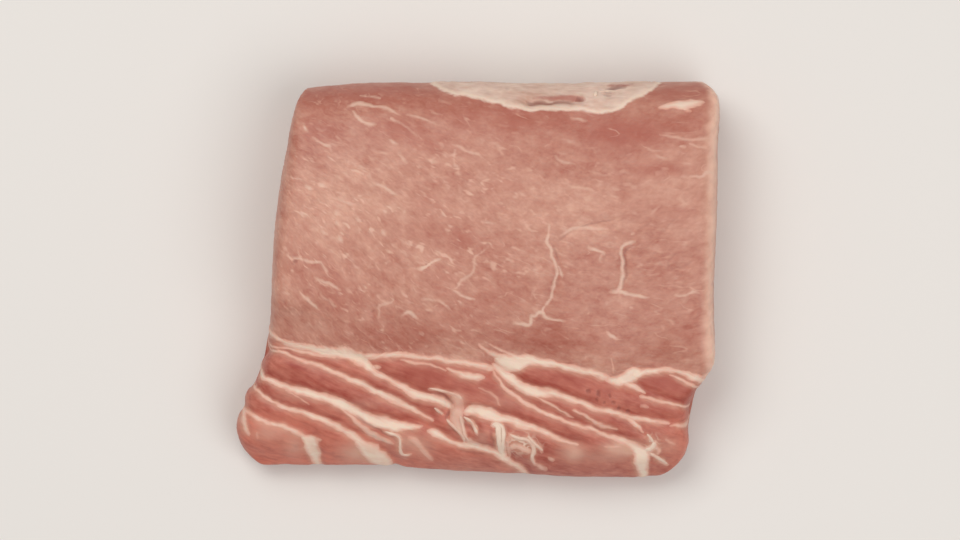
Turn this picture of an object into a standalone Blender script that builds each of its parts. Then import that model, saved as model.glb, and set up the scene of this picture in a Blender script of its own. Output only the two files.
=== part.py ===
"""Boneless pork loin: one raw piece, lying on its side with a cut end at each side.

The big smooth eye muscle takes the back two thirds. Along the front runs the lower rib side flap,
lean strips with slanting sheets of fat between them, and a seam of fat parts it from the eye.
Both cut ends slant, so the flap reaches further left and less far right than the eye.

The body is lofted along X from closed cross sections, and its surface is then pushed in and out
along its normals for the strips, creases, lobes and torn bits. Plan and section points are in
millimetres, X along the loin, Y from the flap (front) to the fat covered back edge, Z up.
"""
import math

import bpy
import numpy as np

# ---------------------------------------------------------------- driving dimensions, metres
LENGTH = 0.174
WIDTH = 0.143
HEIGHT = 0.046
MM = 0.001

# ---------------------------------------------------------------- plan of the piece, millimetres
# Cut ends as (y, x), and long edges as (x, y).
LEFT_END = [(-73, -68.6), (-70, -76), (-66, -82), (-61, -86.2), (-55, -87.6), (-50, -86), (-46, -85.6),
            (-41, -82.8), (-37, -80.6), (-31, -76.2), (-23, -75), (15, -72.4), (54, -68.3),
            (62, -67.3), (68, -65.6), (72, -62)]
RIGHT_END = [(-73, 65), (-70, 71.2), (-66, 75.1), (-61, 76.8), (-57, 76.2), (-52, 75.8), (-46, 76.2),
             (-42, 77.6), (-39, 79.6), (-36.5, 82.4), (-34, 85), (-28, 85.2), (-18, 84.7), (18, 86),
             (54, 85.8), (66, 86.7), (69.5, 85.6), (72, 82.5)]
BACK_EDGE = [(-66, 70.9), (-60, 71), (-49, 71.3), (-28, 71.4), (-10, 70.7), (8, 70.7), (26, 71.7),
             (44, 71.8), (62, 72.1), (80, 72.4)]
FRONT_EDGE = [(-80, -68.4), (-60, -68.5), (-42, -67.8), (-30, -69), (-14, -70.7), (0, -70.8),
              (20, -71.5), (34, -72.4), (60, -72)]
SEAM = [(-76, -22.5), (-64, -23.8), (-52, -26.4), (-41, -28), (-31, -26.8), (-20, -27.5),
        (-6, -29.9), (4, -29.6), (15, -28.9), (27, -29.8), (36, -32.4), (48, -36), (57, -32.8),
        (70, -32.3), (81, -36.2)]

# Heights along X, as (x, z).
CROWN_HEIGHT = [(-75, 43.2), (-40, 45.6), (10, 46.0), (50, 45.6), (85, 43.6)]
SEAM_HEIGHT = [(-78, 29.5), (-50, 32.6), (0, 34.2), (50, 33.4), (82, 31.2)]
FLAP_HEIGHT = [(-84, 27.0), (-66, 30.4), (-30, 32.4), (10, 33.0), (50, 32.2), (76, 30.0)]
NOSE_DROP = [(-80, 0.0), (-30, 1.0), (20, -0.6), (60, 0.8)]

# How far the rounded rim of each cut end reaches along X, as (y, reach), and how much of that
# reach it draws in by: less at the foot, where the meat sags onto what it lies on.
LEFT_RIM = [(-66, 1.5), (-61, 5.0), (-53, 7.5), (-42, 6.0), (-26, 4.5), (58, 4.5), (69, 2.0)]
RIGHT_RIM = [(-70, 1.5), (-63, 4.0), (-50, 4.6), (-30, 4.2), (58, 4.8), (69, 2.5)]
RIM_INSET_SHARE = 0.8
FOOT_INSET_SHARE = 0.28
FOOT_HEIGHT = 14.0
END_DOME = 1.4

# ---------------------------------------------------------------- relief, millimetres
# Sheets of fat between the flap's lean strips: each lies at the bottom of a shallow valley.
FLAP_SHEETS = [
    [(-44, -29), (-32.7, -35.5), (-22, -40.5), (-10, -45.8)],
    [(-76, -26.5), (-63, -29), (-48.7, -34.3), (-36, -40.9), (-22.6, -47.2), (-13.6, -50)],
    [(-80, -34), (-64.3, -39.4), (-50, -43.8), (-37, -50.5), (-21.8, -52)],
    [(-83, -37), (-73.7, -43.7), (-55.7, -49.9), (-43.3, -56.5), (-35.5, -60), (-30, -67)],
    [(-86, -46), (-76.4, -50.3), (-60.4, -55.7), (-58.5, -66)],
    [(6, -31.2), (18.8, -38.6), (35.7, -43.6), (54.8, -48.8), (74, -52)],
    [(5.3, -32.8), (14.9, -42.9), (29, -49.2), (47.3, -55.4), (59.3, -61.2)],
    [(-5, -46.7), (9, -48.7), (24.2, -54.6), (35.7, -58.7)],
    [(-17, -54.2), (-6.6, -59.7), (5, -61.8), (17.2, -68)],
    [(50.6, -36), (60.5, -40.5), (74, -45.5)],
]
SHEET_VALLEY = 1.1
SHEET_HALF_WIDTH = 2.3
SEAM_LEDGE = [(-70, -24.5), (-52, -27.5), (-42, -29)]
# Creases in the eye and the crease in the fat at the back edge, each with its depth.
CREASES = [
    ([(26, 13), (28.3, 5), (27.5, -4), (24, -10)], 0.5),
    ([(28, 13.5), (35, 17.5), (48, 21)], 0.5),
    ([(54.5, 12.5), (51.8, 8), (52.5, 1), (50, -4)], 0.6),
    ([(70, 4), (76.5, 7)], 0.4),
    ([(-37.8, -11.8), (-30, -8)], 0.4),
    ([(17, 63.2), (26, 62.8), (37, 64.3)], 1.0),
]
CREASE_HALF_WIDTH = 1.7
# Swellings and hollows: x, y, reach along X, reach along Y, height.
SWELLINGS = [
    (-76, -57, 8, 6, 1.6),
    (-70, -31, 7, 3.0, 0.8),
    (-28, -60, 8, 5, 0.9),
    (3, -55.5, 4.5, 4.5, 2.0),
    (-3.5, -52.3, 2.6, 2.6, -2.0),
    (-10.8, -47.8, 1.8, 3.2, -1.8),
    (13, -58, 5, 3, 1.0),
    (59.5, -65.5, 3.5, 4.5, 1.0),
    (45, -61, 9, 3.5, 0.8),
    (66, -57, 6, 4, 0.7),
    (30, 62, 14, 3.5, 0.7),
    (48, 67.5, 4, 1.8, -1.2),
    (73, 62.3, 6, 1.8, 0.6),
    (-20, 3.5, 3, 2, 0.4),
]
WAVES = [(0.55, 0.060, 0.031, 0.4), (0.40, -0.047, 0.083, 1.9), (0.30, 0.128, 0.050, 4.1)]
RELIEF_STARTS_AT = 3.0
RELIEF_FULL_AT = 9.0

# ---------------------------------------------------------------- fineness of the mesh
COLUMNS = 72
# Which of a section's controls are its widest point at the back and its foremost point.
BELLY_CONTROL = 2
TIP_CONTROL = 18
RIM_RINGS = 3
CAP_ROWS = 3
LINE_STEPS = 4
SOFTEN_ROUNDS = 3
SOFTEN_SHARE = 0.5

# Lean pork: base colour, roughness and a little light passing under the surface.
LEAN_COLOR = (0.56, 0.26, 0.19, 1.0)
LEAN_ROUGHNESS = 0.45
LEAN_SUBSURFACE = 0.25


def lookup(table, value):
    """Smooth curve through a table's points, read at value and held flat past its ends."""
    at, to = np.array(table, dtype=float).T
    gaps = np.diff(at)
    slopes = np.diff(to) / gaps
    inner = (slopes[:-1] * gaps[1:] + slopes[1:] * gaps[:-1]) / (gaps[:-1] + gaps[1:])
    tangents = np.concatenate([slopes[:1], inner, slopes[-1:]])
    value = np.clip(value, at[0], at[-1])
    span = np.clip(np.searchsorted(at, value, side="right") - 1, 0, len(gaps) - 1)
    gap = gaps[span]
    t = (value - at[span]) / gap
    return ((2 * t**3 - 3 * t**2 + 1) * to[span] + (t**3 - 2 * t**2 + t) * gap * tangents[span]
            + (3 * t**2 - 2 * t**3) * to[span + 1] + (t**3 - t**2) * gap * tangents[span + 1])


def smoothstep(low, high, value):
    t = np.clip((value - low) / (high - low), 0.0, 1.0)
    return t * t * (3 - 2 * t)


def line_through(points, steps):
    """Fine polyline through a few points of an open curve."""
    points = np.array(points, dtype=float)
    reach = np.concatenate([[0.0], np.cumsum(np.linalg.norm(np.diff(points, axis=0), axis=1))])
    at = np.interp(np.arange((len(points) - 1) * steps + 1) / steps, np.arange(len(points)), reach)
    return np.stack([lookup(np.stack([reach, points[:, k]], axis=1), at) for k in (0, 1)], axis=1)


def distance_to_line(x, y, line):
    """Shortest distance in plan from each point to a polyline."""
    best = np.full(x.shape, np.inf)
    for (ax, ay), (bx, by) in zip(line[:-1], line[1:]):
        dx, dy = bx - ax, by - ay
        t = np.clip(((x - ax) * dx + (y - ay) * dy) / (dx * dx + dy * dy), 0.0, 1.0)
        best = np.minimum(best, np.hypot(x - ax - t * dx, y - ay - t * dy))
    return best


def section_controls(u):
    """Control points (y, z) of the cross sections at the shares u of the length.

    They run up the back side, over the eye, across the seam and the flap, down the nose and
    back under the piece. With each comes how many mesh points follow it.
    """
    def across(y):
        left, right = lookup(LEFT_END, y), lookup(RIGHT_END, y)
        return left + u * (right - left)

    back = lookup(BACK_EDGE, across(70.0))
    front = lookup(FRONT_EDGE, across(-67.0))
    seam = np.full(u.shape, -29.0)
    for _ in range(4):
        seam = lookup(SEAM, across(seam))
    crown = lookup(CROWN_HEIGHT, across(30.0))
    seam_z = lookup(SEAM_HEIGHT, across(seam))
    flap_z = lookup(FLAP_HEIGHT, across(-45.0))
    nose = lookup(NOSE_DROP, across(-60.0))
    flat = np.zeros(u.shape)
    controls = [
        (back - 9.0, flat, 2),
        (back - 2.6, flat + 4.5, 2),
        (back, flat + 17.0, 2),
        (back - 2.0, crown - 15.0, 1),
        (back - 6.2, crown - 8.0, 2),
        (back - 13.0, crown - 3.6, 3),
        (back - 24.0, crown - 1.0, 4),
        (back - 39.0, crown, 4),
        (flat + 10.0, crown - 0.8, 4),
        (flat - 8.0, crown - 3.4, 3),
        (seam + 8.5, seam_z + 4.6, 3),
        (seam + 2.6, seam_z + 1.2, 2),
        (seam, seam_z, 2),
        (seam - 3.2, seam_z + 0.1, 4),
        (seam - 11.0, flap_z, 5),
        (front + 18.0, flap_z - 2.4 - nose, 5),
        (front + 9.0, flap_z - 7.2 - nose, 4),
        (front + 3.0, flap_z - 14.2 - nose, 3),
        (front, flat + 11.0, 2),
        (front + 2.2, flat + 3.8, 2),
        (front + 8.0, flat, 2),
        (flat - 25.0, flat, 2),
        (flat + 20.0, flat, 2),
    ]
    points = np.stack([np.stack([y, z], axis=1) for y, z, _ in controls], axis=1)
    return points, [count for _, _, count in controls]


def close_curve(points, counts):
    """Points of a smooth closed curve through each row's controls, counts[i] of them from control i."""
    before, after = np.roll(points, 1, axis=1), np.roll(points, -1, axis=1)
    length = np.linalg.norm(after - points, axis=2, keepdims=True)
    length_before = np.roll(length, 1, axis=1)
    tangent = ((points - before) / length_before * length + (after - points) / length * length_before)
    tangent /= length + length_before
    tangent_after = np.roll(tangent, -1, axis=1)
    rows = []
    for i, count in enumerate(counts):
        for step in range(count):
            t = step / count
            rows.append((2 * t**3 - 3 * t**2 + 1) * points[:, i]
                        + (t**3 - 2 * t**2 + t) * length[:, i] * tangent[:, i]
                        + (3 * t**2 - 2 * t**3) * after[:, i]
                        + (t**3 - t**2) * length[:, i] * tangent_after[:, i])
    ring = np.stack(rows, axis=1)
    ring[..., 1] = np.maximum(ring[..., 1], 0.0)
    bottom = sum(counts[:-3])
    ring[:, bottom:, 1] = 0.0
    return ring


def inset_ring(ring, inset):
    """A section drawn in by inset at each of its points, and by less of it close to the foot."""
    along = np.roll(ring, -1, axis=0) - np.roll(ring, 1, axis=0)
    normal = np.stack([-along[:, 1], along[:, 0]], axis=1)
    normal /= np.linalg.norm(normal, axis=1, keepdims=True)
    normal *= -1.0 if normal[len(ring) // 3, 1] < 0 else 1.0
    low = 1 - smoothstep(0.0, FOOT_HEIGHT, ring[:, 1])
    inset = inset * (RIM_INSET_SHARE + (FOOT_INSET_SHARE - RIM_INSET_SHARE) * low)
    return ring - normal * inset[:, None]


def end_rings(ring, end, rim, side):
    """Rings round a cut end's rim, from the body out to the end face."""
    y = ring[:, 0]
    x_end, reach = lookup(end, y), lookup(rim, y)
    rings = []
    for step in range(1, RIM_RINGS + 1):
        turn = math.pi / 2 * step / RIM_RINGS
        drawn = inset_ring(ring, reach * (1 - math.cos(turn)))
        x = x_end - side * reach * (1 - math.sin(turn))
        rings.append(np.column_stack([x, drawn]))
    return rings


def loft():
    """All rings from the left end face to the right one, as an array of (ring, point, xyz)."""
    u = (1 - np.cos(np.linspace(0.0, 1.0, COLUMNS) * math.pi)) / 2
    u = 0.35 * u + 0.65 * np.linspace(0.0, 1.0, COLUMNS)
    controls, counts = section_controls(u)
    sections = close_curve(controls, counts)
    y = sections[..., 0]
    left = lookup(LEFT_END, y) + lookup(LEFT_RIM, y)
    right = lookup(RIGHT_END, y) - lookup(RIGHT_RIM, y)
    x = left + u[:, None] * (right - left)
    body = [np.column_stack([x[i], sections[i]]) for i in range(COLUMNS)]
    left_rim = end_rings(sections[0], LEFT_END, LEFT_RIM, -1)
    right_rim = end_rings(sections[-1], RIGHT_END, RIGHT_RIM, 1)
    return np.array(left_rim[::-1] + body + right_rim), counts


def end_cap(points, loop, belly, tip, outward, vertices):
    """Faces that close a cut end, with a few rows between its upper and lower edge.

    loop holds the ring's vertex numbers. The edges part at its belly, the back side's widest point,
    and meet again at its tip, the nose's foremost point. New vertices are added to the list.
    """
    upper = loop[belly:tip + 1]
    lower = loop[belly::-1] + loop[:tip - 1:-1]
    low_line = points[lower]
    order = np.argsort(low_line[:, 1])
    faces = []
    row = list(upper)
    inner = upper[1:-1]
    top = points[inner]
    foot = np.column_stack([np.interp(top[:, 1], low_line[order, 1], low_line[order, k]) for k in range(3)])
    across = np.arange(1, len(inner) + 1) / (len(inner) + 1)
    for step in range(1, CAP_ROWS + 1):
        t = step / (CAP_ROWS + 1)
        level = top + (foot - top) * t
        level[:, 0] += outward * END_DOME * np.sin(math.pi * across) ** 0.5 * math.sin(math.pi * t)
        first = len(vertices)
        vertices.extend(level)
        new_row = [upper[0]] + list(range(first, first + len(inner))) + [upper[-1]]
        for i in range(len(upper) - 1):
            corners = [row[i], row[i + 1], new_row[i + 1], new_row[i]]
            faces.append(list(dict.fromkeys(corners)))
        row = new_row
    everything = np.array(vertices)
    i = j = 0
    while i < len(row) - 1 or j < len(lower) - 1:
        row_next = everything[row[i + 1], 1] if i < len(row) - 1 else -np.inf
        low_next = everything[lower[j + 1], 1] if j < len(lower) - 1 else -np.inf
        if row_next >= low_next:
            corners = [row[i], row[i + 1], lower[j]]
            i += 1
        else:
            corners = [row[i], lower[j + 1], lower[j]]
            j += 1
        if len(set(corners)) == 3:
            faces.append(corners)
    return faces


def relief(points):
    """Height of the relief at each point, along the surface's normal."""
    x, y, z = points.T
    height = np.zeros(len(points))
    for sheet in FLAP_SHEETS + [SEAM_LEDGE]:
        away = distance_to_line(x, y, line_through(sheet, LINE_STEPS))
        height -= SHEET_VALLEY * np.exp(-(away / SHEET_HALF_WIDTH) ** 2)
    for crease, depth in CREASES:
        away = distance_to_line(x, y, line_through(crease, LINE_STEPS))
        height -= depth * np.exp(-(away / CREASE_HALF_WIDTH) ** 2)
    for cx, cy, reach_x, reach_y, rise in SWELLINGS:
        height += rise * np.exp(-((x - cx) / reach_x) ** 2 - ((y - cy) / reach_y) ** 2)
    for rise, along, over, start in WAVES:
        height += rise * np.sin(along * x + over * y + start)
    return height * smoothstep(RELIEF_STARTS_AT, RELIEF_FULL_AT, z)


def vertex_normals(points, faces):
    """Outward normals, area weighted, with each face taken as a fan."""
    normals = np.zeros_like(points)
    for face in faces:
        for second, third in zip(face[1:-1], face[2:]):
            corner = (face[0], second, third)
            a, b, c = points[list(corner)]
            normal = np.cross(b - a, c - a)
            for k in corner:
                normals[k] += normal
    return normals / np.linalg.norm(normals, axis=1, keepdims=True)


def soften(points, faces):
    """Points drawn towards their neighbours, which rounds the cut edges; resting points stay."""
    links = {tuple(sorted(pair)) for face in faces for pair in zip(face, face[1:] + face[:1])}
    first, second = np.array(sorted(links)).T
    ends = np.concatenate([first, second])
    others = np.concatenate([second, first])
    links_each = np.bincount(ends, minlength=len(points))
    resting = points[:, 2] < 1e-6
    for _ in range(SOFTEN_ROUNDS):
        mean = np.stack([np.bincount(ends, points[others, k], len(points)) for k in range(3)], axis=1)
        drawn = points + SOFTEN_SHARE * (mean / links_each[:, None] - points)
        points = np.where(resting[:, None], points, drawn)
    return points


def fit_to_box(points):
    """Points moved and stretched by a hair to the piece's exact size, standing on z = 0."""
    low, high = points.min(axis=0), points.max(axis=0)
    size = np.array([LENGTH, WIDTH, HEIGHT])
    middle = np.array([0.5, 0.5, 0.0])
    return ((points - low) / (high - low) - middle) * size


def loin_mesh():
    rings, counts = loft()
    ring_count, per_ring = rings.shape[:2]
    vertices = list(rings.reshape(-1, 3))
    faces = []
    for i in range(ring_count - 1):
        for j in range(per_ring):
            k = (j + 1) % per_ring
            faces.append([i * per_ring + j, i * per_ring + k,
                          (i + 1) * per_ring + k, (i + 1) * per_ring + j])
    belly, tip = sum(counts[:BELLY_CONTROL]), sum(counts[:TIP_CONTROL])
    points = np.array(vertices)
    left_loop = list(range(per_ring))
    right_loop = list(range((ring_count - 1) * per_ring, ring_count * per_ring))
    faces += [face[::-1] for face in end_cap(points, left_loop, belly, tip, -1, vertices)]
    faces += end_cap(points, right_loop, belly, tip, 1, vertices)
    points = soften(np.array(vertices), faces)
    points = points + vertex_normals(points, faces) * relief(points)[:, None]
    points[:, 2] = np.maximum(points[:, 2], 0.0)
    return fit_to_box(points), faces


def lean_material():
    material = bpy.data.materials.new("lean_pork")
    material.use_nodes = True
    shader = material.node_tree.nodes["Principled BSDF"]
    shader.inputs["Base Color"].default_value = LEAN_COLOR
    shader.inputs["Roughness"].default_value = LEAN_ROUGHNESS
    shader.inputs["Metallic"].default_value = 0.0
    shader.inputs["Subsurface Weight"].default_value = LEAN_SUBSURFACE
    shader.inputs["Subsurface Scale"].default_value = 4.0 * MM
    return material


def make_loin():
    points, faces = loin_mesh()
    mesh = bpy.data.meshes.new("pork_loin")
    mesh.from_pydata([tuple(point) for point in points], [], faces)
    mesh.validate()
    mesh.shade_smooth()
    mesh.materials.append(lean_material())
    loin = bpy.data.objects.new("pork_loin", mesh)
    bpy.context.scene.collection.objects.link(loin)
    return loin


def main():
    for old in list(bpy.data.objects):
        bpy.data.objects.remove(old, do_unlink=True)
    make_loin()


main()
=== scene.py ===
"""Boneless pork loin: the looks.

The frame's solid gives the size and the place. The same body is lofted here again, far finer, and
dressed: cream sheets of fat between the flap's red strips, the fat seam, veins and flecks in the
eye, the fat at the back edge, and the torn strands in the middle of the flap. Plan points are in
millimetres in the frame's own axes, X along the loin, Y to the back edge, Z up.
"""
import math

import bmesh
import bpy
import numpy as np
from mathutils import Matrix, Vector
from mathutils.bvhtree import BVHTree


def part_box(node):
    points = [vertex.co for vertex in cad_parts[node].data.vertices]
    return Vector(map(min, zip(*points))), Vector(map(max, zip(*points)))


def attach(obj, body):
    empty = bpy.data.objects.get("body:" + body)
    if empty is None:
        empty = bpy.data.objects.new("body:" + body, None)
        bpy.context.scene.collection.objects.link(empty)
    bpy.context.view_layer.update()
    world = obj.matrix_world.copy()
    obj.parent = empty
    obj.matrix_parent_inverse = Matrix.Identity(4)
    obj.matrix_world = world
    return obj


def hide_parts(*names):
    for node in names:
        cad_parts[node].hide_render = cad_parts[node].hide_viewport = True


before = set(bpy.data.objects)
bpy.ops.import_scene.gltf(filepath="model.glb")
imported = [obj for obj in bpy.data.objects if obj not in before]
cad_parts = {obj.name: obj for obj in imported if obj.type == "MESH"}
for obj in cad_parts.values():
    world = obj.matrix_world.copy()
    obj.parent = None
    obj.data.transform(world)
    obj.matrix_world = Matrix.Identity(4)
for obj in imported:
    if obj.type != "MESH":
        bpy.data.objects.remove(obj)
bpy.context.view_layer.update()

MM = 0.001
NODE = "pork_loin"
LOW_CORNER, HIGH_CORNER = (np.array(corner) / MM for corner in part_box(NODE))

# ---------------------------------------------------------------- the form, as in the solid
LEFT_END = [(-73, -68.6), (-70, -76), (-66, -82), (-61, -86.2), (-55, -87.6), (-50, -86), (-46, -85.6),
            (-41, -82.8), (-37, -80.6), (-31, -76.2), (-23, -75), (15, -72.4), (54, -68.3),
            (62, -67.3), (68, -65.6), (72, -62)]
RIGHT_END = [(-73, 65), (-70, 71.2), (-66, 75.1), (-61, 76.8), (-57, 76.2), (-52, 75.8), (-46, 76.2),
             (-42, 77.6), (-39, 79.6), (-36.5, 82.4), (-34, 85), (-28, 85.2), (-18, 84.7), (18, 86),
             (54, 85.8), (66, 86.7), (69.5, 85.6), (72, 82.5)]
BACK_EDGE = [(-66, 70.9), (-60, 71), (-49, 71.3), (-28, 71.4), (-10, 70.7), (8, 70.7), (26, 71.7),
             (44, 71.8), (62, 72.1), (80, 72.4)]
FRONT_EDGE = [(-80, -68.4), (-60, -68.5), (-42, -67.8), (-30, -69), (-14, -70.7), (0, -70.8),
              (20, -71.5), (34, -72.4), (60, -72)]
SEAM = [(-76, -22.5), (-64, -23.8), (-52, -26.4), (-41, -28), (-31, -26.8), (-20, -27.5),
        (-6, -29.9), (4, -29.6), (15, -28.9), (27, -29.8), (36, -32.4), (48, -36), (57, -32.8),
        (70, -32.3), (81, -36.2)]
CROWN_HEIGHT = [(-75, 43.2), (-40, 45.6), (10, 46.0), (50, 45.6), (85, 43.6)]
SEAM_HEIGHT = [(-78, 29.5), (-50, 32.6), (0, 34.2), (50, 33.4), (82, 31.2)]
FLAP_HEIGHT = [(-84, 27.0), (-66, 30.4), (-30, 32.4), (10, 33.0), (50, 32.2), (76, 30.0)]
NOSE_DROP = [(-80, 0.0), (-30, 1.0), (20, -0.6), (60, 0.8)]
LEFT_RIM = [(-66, 1.5), (-61, 5.0), (-53, 7.5), (-42, 6.0), (-26, 4.5), (58, 4.5), (69, 2.0)]
RIGHT_RIM = [(-70, 1.5), (-63, 4.0), (-50, 4.6), (-30, 4.2), (58, 4.8), (69, 2.5)]
RIM_INSET_SHARE = 0.8
FOOT_INSET_SHARE = 0.28
FOOT_HEIGHT = 14.0
END_DOME = 1.4
# The sheets of fat between the flap's strips leave shallow valleys.
FLAP_SHEETS = [
    [(-44, -29), (-32.7, -35.5), (-22, -40.5), (-10, -45.8)],
    [(-76, -26.5), (-63, -29), (-48.7, -34.3), (-36, -40.9), (-22.6, -47.2), (-13.6, -50)],
    [(-80, -34), (-64.3, -39.4), (-50, -43.8), (-37, -50.5), (-21.8, -52)],
    [(-83, -37), (-73.7, -43.7), (-55.7, -49.9), (-43.3, -56.5), (-35.5, -60), (-30, -67)],
    [(-86, -46), (-76.4, -50.3), (-60.4, -55.7), (-58.5, -66)],
    [(6, -31.2), (18.8, -38.6), (35.7, -43.6), (54.8, -48.8), (74, -52)],
    [(5.3, -32.8), (14.9, -42.9), (29, -49.2), (47.3, -55.4), (59.3, -61.2)],
    [(-5, -46.7), (9, -48.7), (24.2, -54.6), (35.7, -58.7)],
    [(-17, -54.2), (-6.6, -59.7), (5, -61.8), (17.2, -68)],
    [(50.6, -36), (60.5, -40.5), (74, -45.5)],
]
SHEET_VALLEY = 1.1
SHEET_HALF_WIDTH = 2.3
SEAM_LEDGE = [(-70, -24.5), (-52, -27.5), (-42, -29)]
# Creases in the eye and in the back edge's fat, each with its depth.
CREASES = [
    ([(26, 13), (28.3, 5), (27.5, -4), (24, -10)], 0.5),
    ([(28, 13.5), (35, 17.5), (48, 21)], 0.5),
    ([(54.5, 12.5), (51.8, 8), (52.5, 1), (50, -4)], 0.6),
    ([(70, 4), (76.5, 7)], 0.4),
    ([(-37.8, -11.8), (-30, -8)], 0.4),
    ([(17, 63.2), (26, 62.8), (37, 64.3)], 1.0),
]
CREASE_HALF_WIDTH = 1.7
# A groove ends at this many half widths from its line.
GROOVE_REACH = 4.0
# Swellings and hollows: x, y, reach along X, reach along Y, rise.
SWELLINGS = [
    (-76, -57, 8, 6, 1.6),
    (-70, -31, 7, 3.0, 0.8),
    (-28, -60, 8, 5, 0.9),
    (3, -55.5, 4.5, 4.5, 2.0),
    (-3.5, -52.3, 2.6, 2.6, -2.0),
    (-10.8, -47.8, 1.8, 3.2, -1.8),
    (13, -58, 5, 3, 1.0),
    (59.5, -65.5, 3.5, 4.5, 1.0),
    (45, -61, 9, 3.5, 0.8),
    (66, -57, 6, 4, 0.7),
    (30, 62, 14, 3.5, 0.7),
    (48, 67.5, 4, 1.8, -1.2),
    (73, 62.3, 6, 1.8, 0.6),
    (-20, 3.5, 3, 2, 0.4),
]
# Slow waves: rise, radians a millimetre along X and along Y, start.
WAVES = [(0.55, 0.060, 0.031, 0.4), (0.40, -0.047, 0.083, 1.9), (0.30, 0.128, 0.050, 4.1)]
RELIEF_STARTS_AT = 3.0
RELIEF_FULL_AT = 9.0
SOFTEN_ROUNDS = 3
SOFTEN_SHARE = 0.5
# The cross section's controls at the back and at the front, and how many of the last rest on the floor.
BELLY_CONTROL = 2
TIP_CONTROL = 18
RESTING_CONTROLS = 3

# ---------------------------------------------------------------- fineness of the visible mesh
COLUMNS = 72
RIM_RINGS = 3
CAP_ROWS = 3
SUBDIVISIONS = 2
LINE_STEPS = 5

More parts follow.
